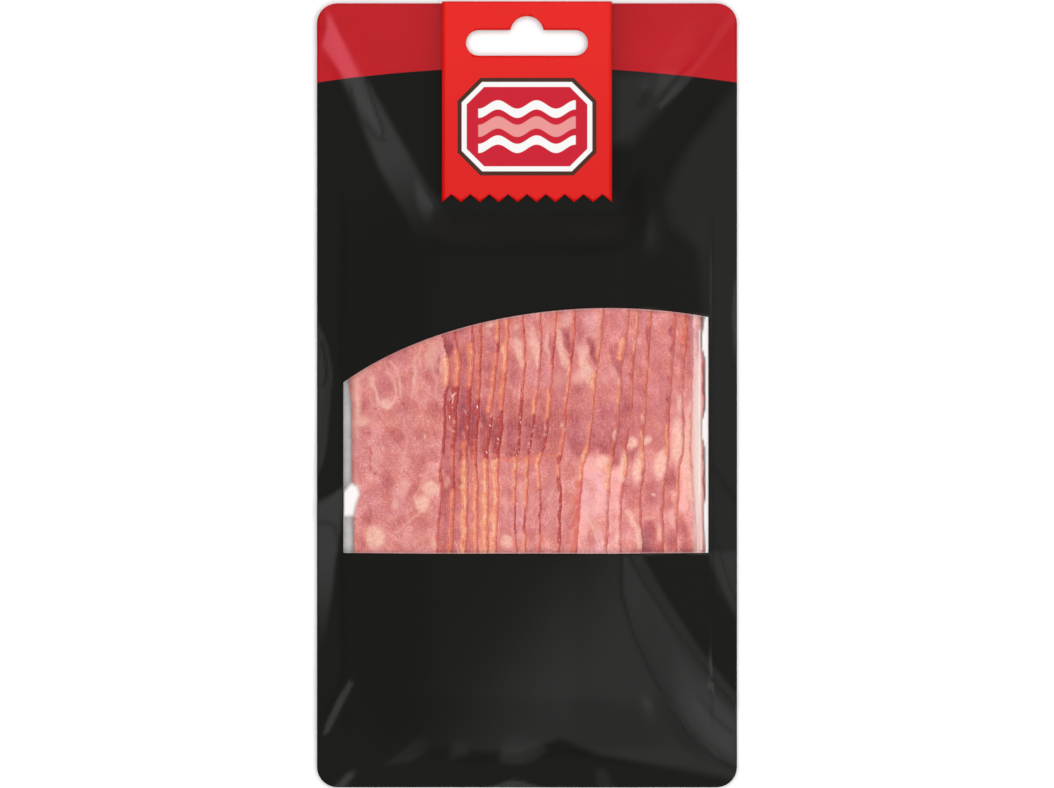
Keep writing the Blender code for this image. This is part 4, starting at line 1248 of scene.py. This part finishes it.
def ovals(x, y, marks):
    # 1 - product of (1 - amount * fall-off), each mark a turned oval with a soft rim
    clear = np.ones(x.shape)
    for cx, cy, rx, ry, amount, *turned in marks:
        turn = math.radians(sum(turned))
        c, s = math.cos(turn), math.sin(turn)
        dx, dy = x - cx, y - cy
        far = np.hypot((dx * c - dy * s) / rx, (dx * s + dy * c) / ry)
        clear *= 1 - amount * (1 - smooth((far - 0.42) / 0.98))
    return 1 - clear


def lines(x, y, marks):
    # the same for thin lines with a soft rim
    clear = np.ones(x.shape)
    for half, amount, *row in marks:
        clear *= 1 - amount * (1 - smooth((awayFrom(x, y, row) / half - 0.4) / 1.3))
    return 1 - clear


rimShape = {
    # width, warmth and crust where nothing was measured, and how much that weighs beside the stretches
    "usual": (0.6, 0.3, 0.25),
    "usualWeight": 0.06,
    "soft": 2.0,
    "wider": 1.4,
    "widerFrom": 10,
    "crust": 1.1,
    "faintCrust": 0.55,
    "faintFrom": 11,
    "widthRipple": 0.18,
    "fineRipple": 0.05,
    "warmRipple": 0.13,
    "crustRipple": 0.36,
}


def rimFields(k, distance, y):
    # gold share, warmth and crust share at a distance from the edge
    weight = np.full(y.shape, rimShape["usualWeight"])
    sums = [weight * usual for usual in rimShape["usual"]]
    for low, high, *stretch in rims[k]:
        here = smooth((y - low) / rimShape["soft"] + 0.5) * smooth((high - y) / rimShape["soft"] + 0.5)
        weight = weight + here
        sums = [total + here * value for total, value in zip(sums, stretch)]
    width, warm, crust = [total / weight for total in sums]
    width = width * (rimShape["wider"] if k >= rimShape["widerFrom"] else 1)
    slow = rimShape["widthRipple"] * ripple(y, 300 + k, (11, 6.3, 3.7))
    width = width * (1 + slow + rimShape["fineRipple"] * ripple(y, 320 + k, (1.6, 1.0)))
    warm = np.clip(warm * (1 + rimShape["warmRipple"] * ripple(y, 400 + k, (9, 4.7, 2.2))), 0, 1)
    crust = np.clip(crust * (1 + rimShape["crustRipple"] * ripple(y, 500 + k)), 0, 1)
    across = distance / width
    strength = 0.66 + 0.34 * smooth((width - 0.5) / 0.9)
    gold = strength * smooth((warm - 0.05) / 0.35) * (1 - smooth((across - 0.3) / 1.15))
    warmth = warm * (0.50 + 0.50 * np.exp(-((across - 0.55) / 0.36) ** 2))
    amount = rimShape["crust"] if k < rimShape["faintFrom"] else rimShape["faintCrust"]
    darkness = crust * amount * (1 - smooth((across - 0.6) / 0.7))
    return gold, warmth, darkness


leanShape = {
    # the middle band's lower and upper ends, how soft each is, and how the band slants from the edge
    "slant": 0.6,
    "low": -17,
    "lowSoft": 4,
    "lowSoftLeft": 9,
    "leftBefore": 7,
    "high": 2,
    "highSoft": 12,
    "deepest": 1.12,
    "marks": 0.95,
    "clouds": 0.08,
}


def sliceMarks(k, x, y, distance):
    # fat, lean, gold, warmth and crust: the measured marks with their places swayed a little
    gold, warmth, crust = rimFields(k, distance, y)
    aside = 0.28 * wobble(x, y, 2.6, 600 + k) + 0.06 * wobble(x, y, 0.9, 620 + k)
    along = 0.34 * wobble(x, y, 3.0, 640 + k) + 0.08 * wobble(x, y, 1.0, 660 + k)
    x, y = x + aside, y + along
    high, middle, low = leanDepth[k]
    slanted = y - leanShape["slant"] * distance * math.sin(1.3 * k)
    lowSoft = leanShape["lowSoftLeft"] if k < leanShape["leftBefore"] else leanShape["lowSoft"]
    lowest = smooth((slanted - leanShape["low"] - 1.2 * math.sin(2.7 * k)) / lowSoft + 0.5)
    highest = smooth((slanted - leanShape["high"] - 3 * math.sin(1.9 * k + 1)) / leanShape["highSoft"] + 0.5)
    lean = low + (middle - low) * lowest + (high - middle) * highest
    lean = lean + (leanShape["deepest"] - lean) * ovals(x, y, leanMarks.get(k, [])) * leanShape["marks"]
    lean = np.maximum(lean, lines(x, y, leanLines.get(k, [])))
    lean = np.clip(lean + leanShape["clouds"] * wobble(x, y, 3, 40 + k), 0, 1.15)
    specks = lines(x, y, fatLines.get(k, []))
    fat = 1 - (1 - ovals(x, y, fatMarks.get(k, []))) * (1 - specks)
    seam = lines(x, y, goldLines.get(k, [])) * (0.75 + 0.35 * wobble(x, y, 1.1, 680 + k))
    gold = np.maximum(gold * (1 - specks), seam)
    return fat, lean, gold, warmth * (1 - seam) + 0.6 * seam, crust * (1 - seam) * (1 - specks)


rasherShape = {
    "rowStep": 0.42,
    "edgeSteps": (0, 0.04, 0.12, 0.24, 0.40),
    "fineFrom": 0.65,
    "fineStep": 0.34,
    "roundWidth": 1.15,
    "widerBy": 0.06,
    "roundHeight": 0.98,
    "lowerBy": 0.05,
    "relief": 0.05,
    "fineRelief": 0.03,
    "tuckUp": 0.04,
    "tuckOut": 0.06,
}


def makeSlice(k):
    # rings round the slice at each y: over the top from left to right, round the edge and back underneath
    bottom = stack["bottom"] + 1.2 * math.sin(2.3 * (k - 1))
    top = stack["top"] + 1.2 * math.sin(1.9 * (k - 1) + 1)
    cornerRows = 6
    turn = np.linspace(0, np.pi / 2, cornerRows)
    corner = stack["corner"] * (1 - np.cos(turn))
    rows = np.concatenate([
        bottom + corner[:-1],
        np.linspace(bottom + stack["corner"], -44, 10),
        np.arange(-43, 24, rasherShape["rowStep"]),
        np.linspace(24.5, top - stack["corner"], 5),
        top - corner[::-1][1:],
    ])
    pulled = np.zeros(len(rows))
    pulled[:cornerRows] = stack["corner"] * (1 - np.sin(turn))
    pulled[-cornerRows:] = pulled[cornerRows - 1::-1]
    left = leftEdge(k, rows) + pulled
    right = rightEdge(k, rows) - pulled

    shows = 24.5 if k == 1 else 1.8 + max(a - b for a, b in zip(edgeAt[k], edgeAt[k - 1]))
    fine = np.arange(rasherShape["fineFrom"], shows, rasherShape["fineStep"])
    near = np.concatenate([rasherShape["edgeSteps"], fine])
    near = near * min(1, 0.9 * (right - left)[cornerRows:-cornerRows].min() / near[-1])
    share = np.linspace(0, 1, 9 if k > 1 else 4)[1:]
    spare = right - left - near[-1]
    distance = np.concatenate([
        np.tile(near, (len(rows), 1)),
        near[-1] + share[None, :] * spare[:, None],
    ], axis=1)[:, ::-1]
    x = right[:, None] - distance
    y = np.tile(rows[:, None], (1, distance.shape[1]))
    floor = stack["base"] + stack["pitch"] * layersUnder(k, x)
    relief = rasherShape["relief"] * wobble(x, y, 2.2, 90 + k)
    relief = relief + rasherShape["fineRelief"] * wobble(x, y, 0.9, 190 + k)
    roundWidth = rasherShape["roundWidth"] + rasherShape["widerBy"] * max(0, k - 8)
    intoEdge = np.clip(1 - distance / roundWidth, 0, 1)
    drop = (rasherShape["roundHeight"] - rasherShape["lowerBy"] * max(0, k - 10)) * intoEdge ** 2
    gap = stack["clear"]
    upper = floor + stack["pitch"] - 2 * gap - drop + np.minimum(relief, 0)
    fat, lean, gold, warmth, crust = sliceMarks(k, x, y, distance)

    last = distance.shape[1] - 1
    backwards = last - np.array(sorted(set(min(i, last) for i in (0, 3, 8, 16, 30, last))))
    first = (backwards == last).astype(float)
    lowX = x[:, backwards] - rasherShape["tuckOut"] * first
    lowZ = floor[:, backwards] + gap + rasherShape["tuckUp"] * first
    gridX = np.concatenate([x, lowX], axis=1)
    gridY = np.concatenate([y, y[:, backwards]], axis=1)
    gridZ = np.concatenate([upper, lowZ], axis=1)
    ring = gridX.shape[1]
    points = np.stack([gridX, gridY, gridZ], -1).reshape(-1, 3)
    at = np.arange(len(rows) * ring).reshape(len(rows), ring)
    after = np.roll(at, -1, axis=1)
    faces = np.stack([at[:-1], after[:-1], after[1:], at[1:]], -1).reshape(-1, 4).tolist()
    faces.append(at[0][::-1].tolist())
    faces.append(at[-1].tolist())
    ends = [len(faces) - 2, len(faces) - 1]
    made = makeMesh(f"baconSlice{k:02d}", points, faces, [curedBacon], flatFaces=ends)

    def spread(field):
        return np.concatenate([field, field[:, backwards]], axis=1).reshape(-1)

    paint(made, "marks", np.stack([spread(fat), spread(gold), spread(crust), spread(lean)], -1))
    paint(made, "warmth", spread(warmth))
    paint(made, "seed", np.full(len(points), 3.7 * k))
    return made


print("slices")
for k in range(1, stack["count"] + 1):
    rasher = makeSlice(k)
    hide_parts(f"bacon_slice_{k:02d}")
    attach(rasher, "root")


# Floor, lights and camera

studio = {
    "floorTone": 0.86,
    "floorReach": 8,
    "floorDrop": 0.0003,
    "worldStrength": 0.07,
    "sunStrength": 3.62,
    "sunAngle": 75,
    "sideLights": {
        # name: (compass direction, degrees off the vertical, distance, size, radiance)
        "rightUpper": (36, 65, 1.0, 0.45, 1.0),
        "rightLower": (-36, 65, 1.0, 0.45, 1.0),
    },
    "lens": 200,
    "sensor": 36,
    "frameWidth": 276.1,
}


def makeStudio():
    # a wide floor, a faint world, a soft overhead light and two lamps at the right for the film's shine
    mesh = bpy.data.meshes.new("studioFloor")
    reach = studio["floorReach"]
    corners = (-reach, -reach), (reach, -reach), (reach, reach), (-reach, reach)
    mesh.from_pydata([(x, y, -studio["floorDrop"]) for x, y in corners], [], [(0, 1, 2, 3)])
    tone = studio["floorTone"]
    cover, _, shader = newMaterial("studioFloor", (tone, tone, tone), 0.9)
    shader.inputs["Specular IOR Level"].default_value = 0.1
    mesh.materials.append(cover)
    floor = addObject("studioFloor", mesh)

    world = bpy.data.worlds.new("studio")
    bpy.context.scene.world = world
    world.use_nodes = True
    glow = world.node_tree.nodes["Background"].inputs
    feed(world.node_tree, glow, {"Color": (1, 1, 1, 1), "Strength": studio["worldStrength"]})

    sun = bpy.data.lights.new("overhead", "SUN")
    sun.energy = studio["sunStrength"]
    sun.angle = math.radians(studio["sunAngle"])
    lamp = addObject("overhead", sun)
    lamp.rotation_euler = (0, math.radians(4), 0)
    lamp.visible_glossy = False

    for name, (heading, off, far, size, radiance) in studio["sideLights"].items():
        a, e = math.radians(heading), math.radians(off)
        way = np.array([math.cos(a) * math.sin(e), math.sin(a) * math.sin(e), math.cos(e)])
        light = bpy.data.lights.new(name, "AREA")
        light.shape = "SQUARE"
        light.size = size
        light.energy = radiance * math.pi * size * size
        lamp = addObject(name, light)
        lamp.location = way * far
        lamp.rotation_euler = (e, 0, a + math.pi / 2)
        lamp.visible_diffuse = False


def makeCamera():
    lens = bpy.data.cameras.new("camera")
    lens.lens = studio["lens"]
    lens.sensor_width = studio["sensor"]
    lens.clip_start = 0.01
    lens.clip_end = 50
    camera = addObject("camera", lens)
    # the frame's width is met at the height of the seal
    far = studio["frameWidth"] * studio["lens"] / studio["sensor"] + film["sealMiddle"]
    camera.location = (0, 0, far * mm)
    bpy.context.scene.camera = camera


print("studio")
makeStudio()
makeCamera()
bpy.context.scene.view_settings.view_transform = "Standard"
bpy.context.scene.view_settings.look = "None"
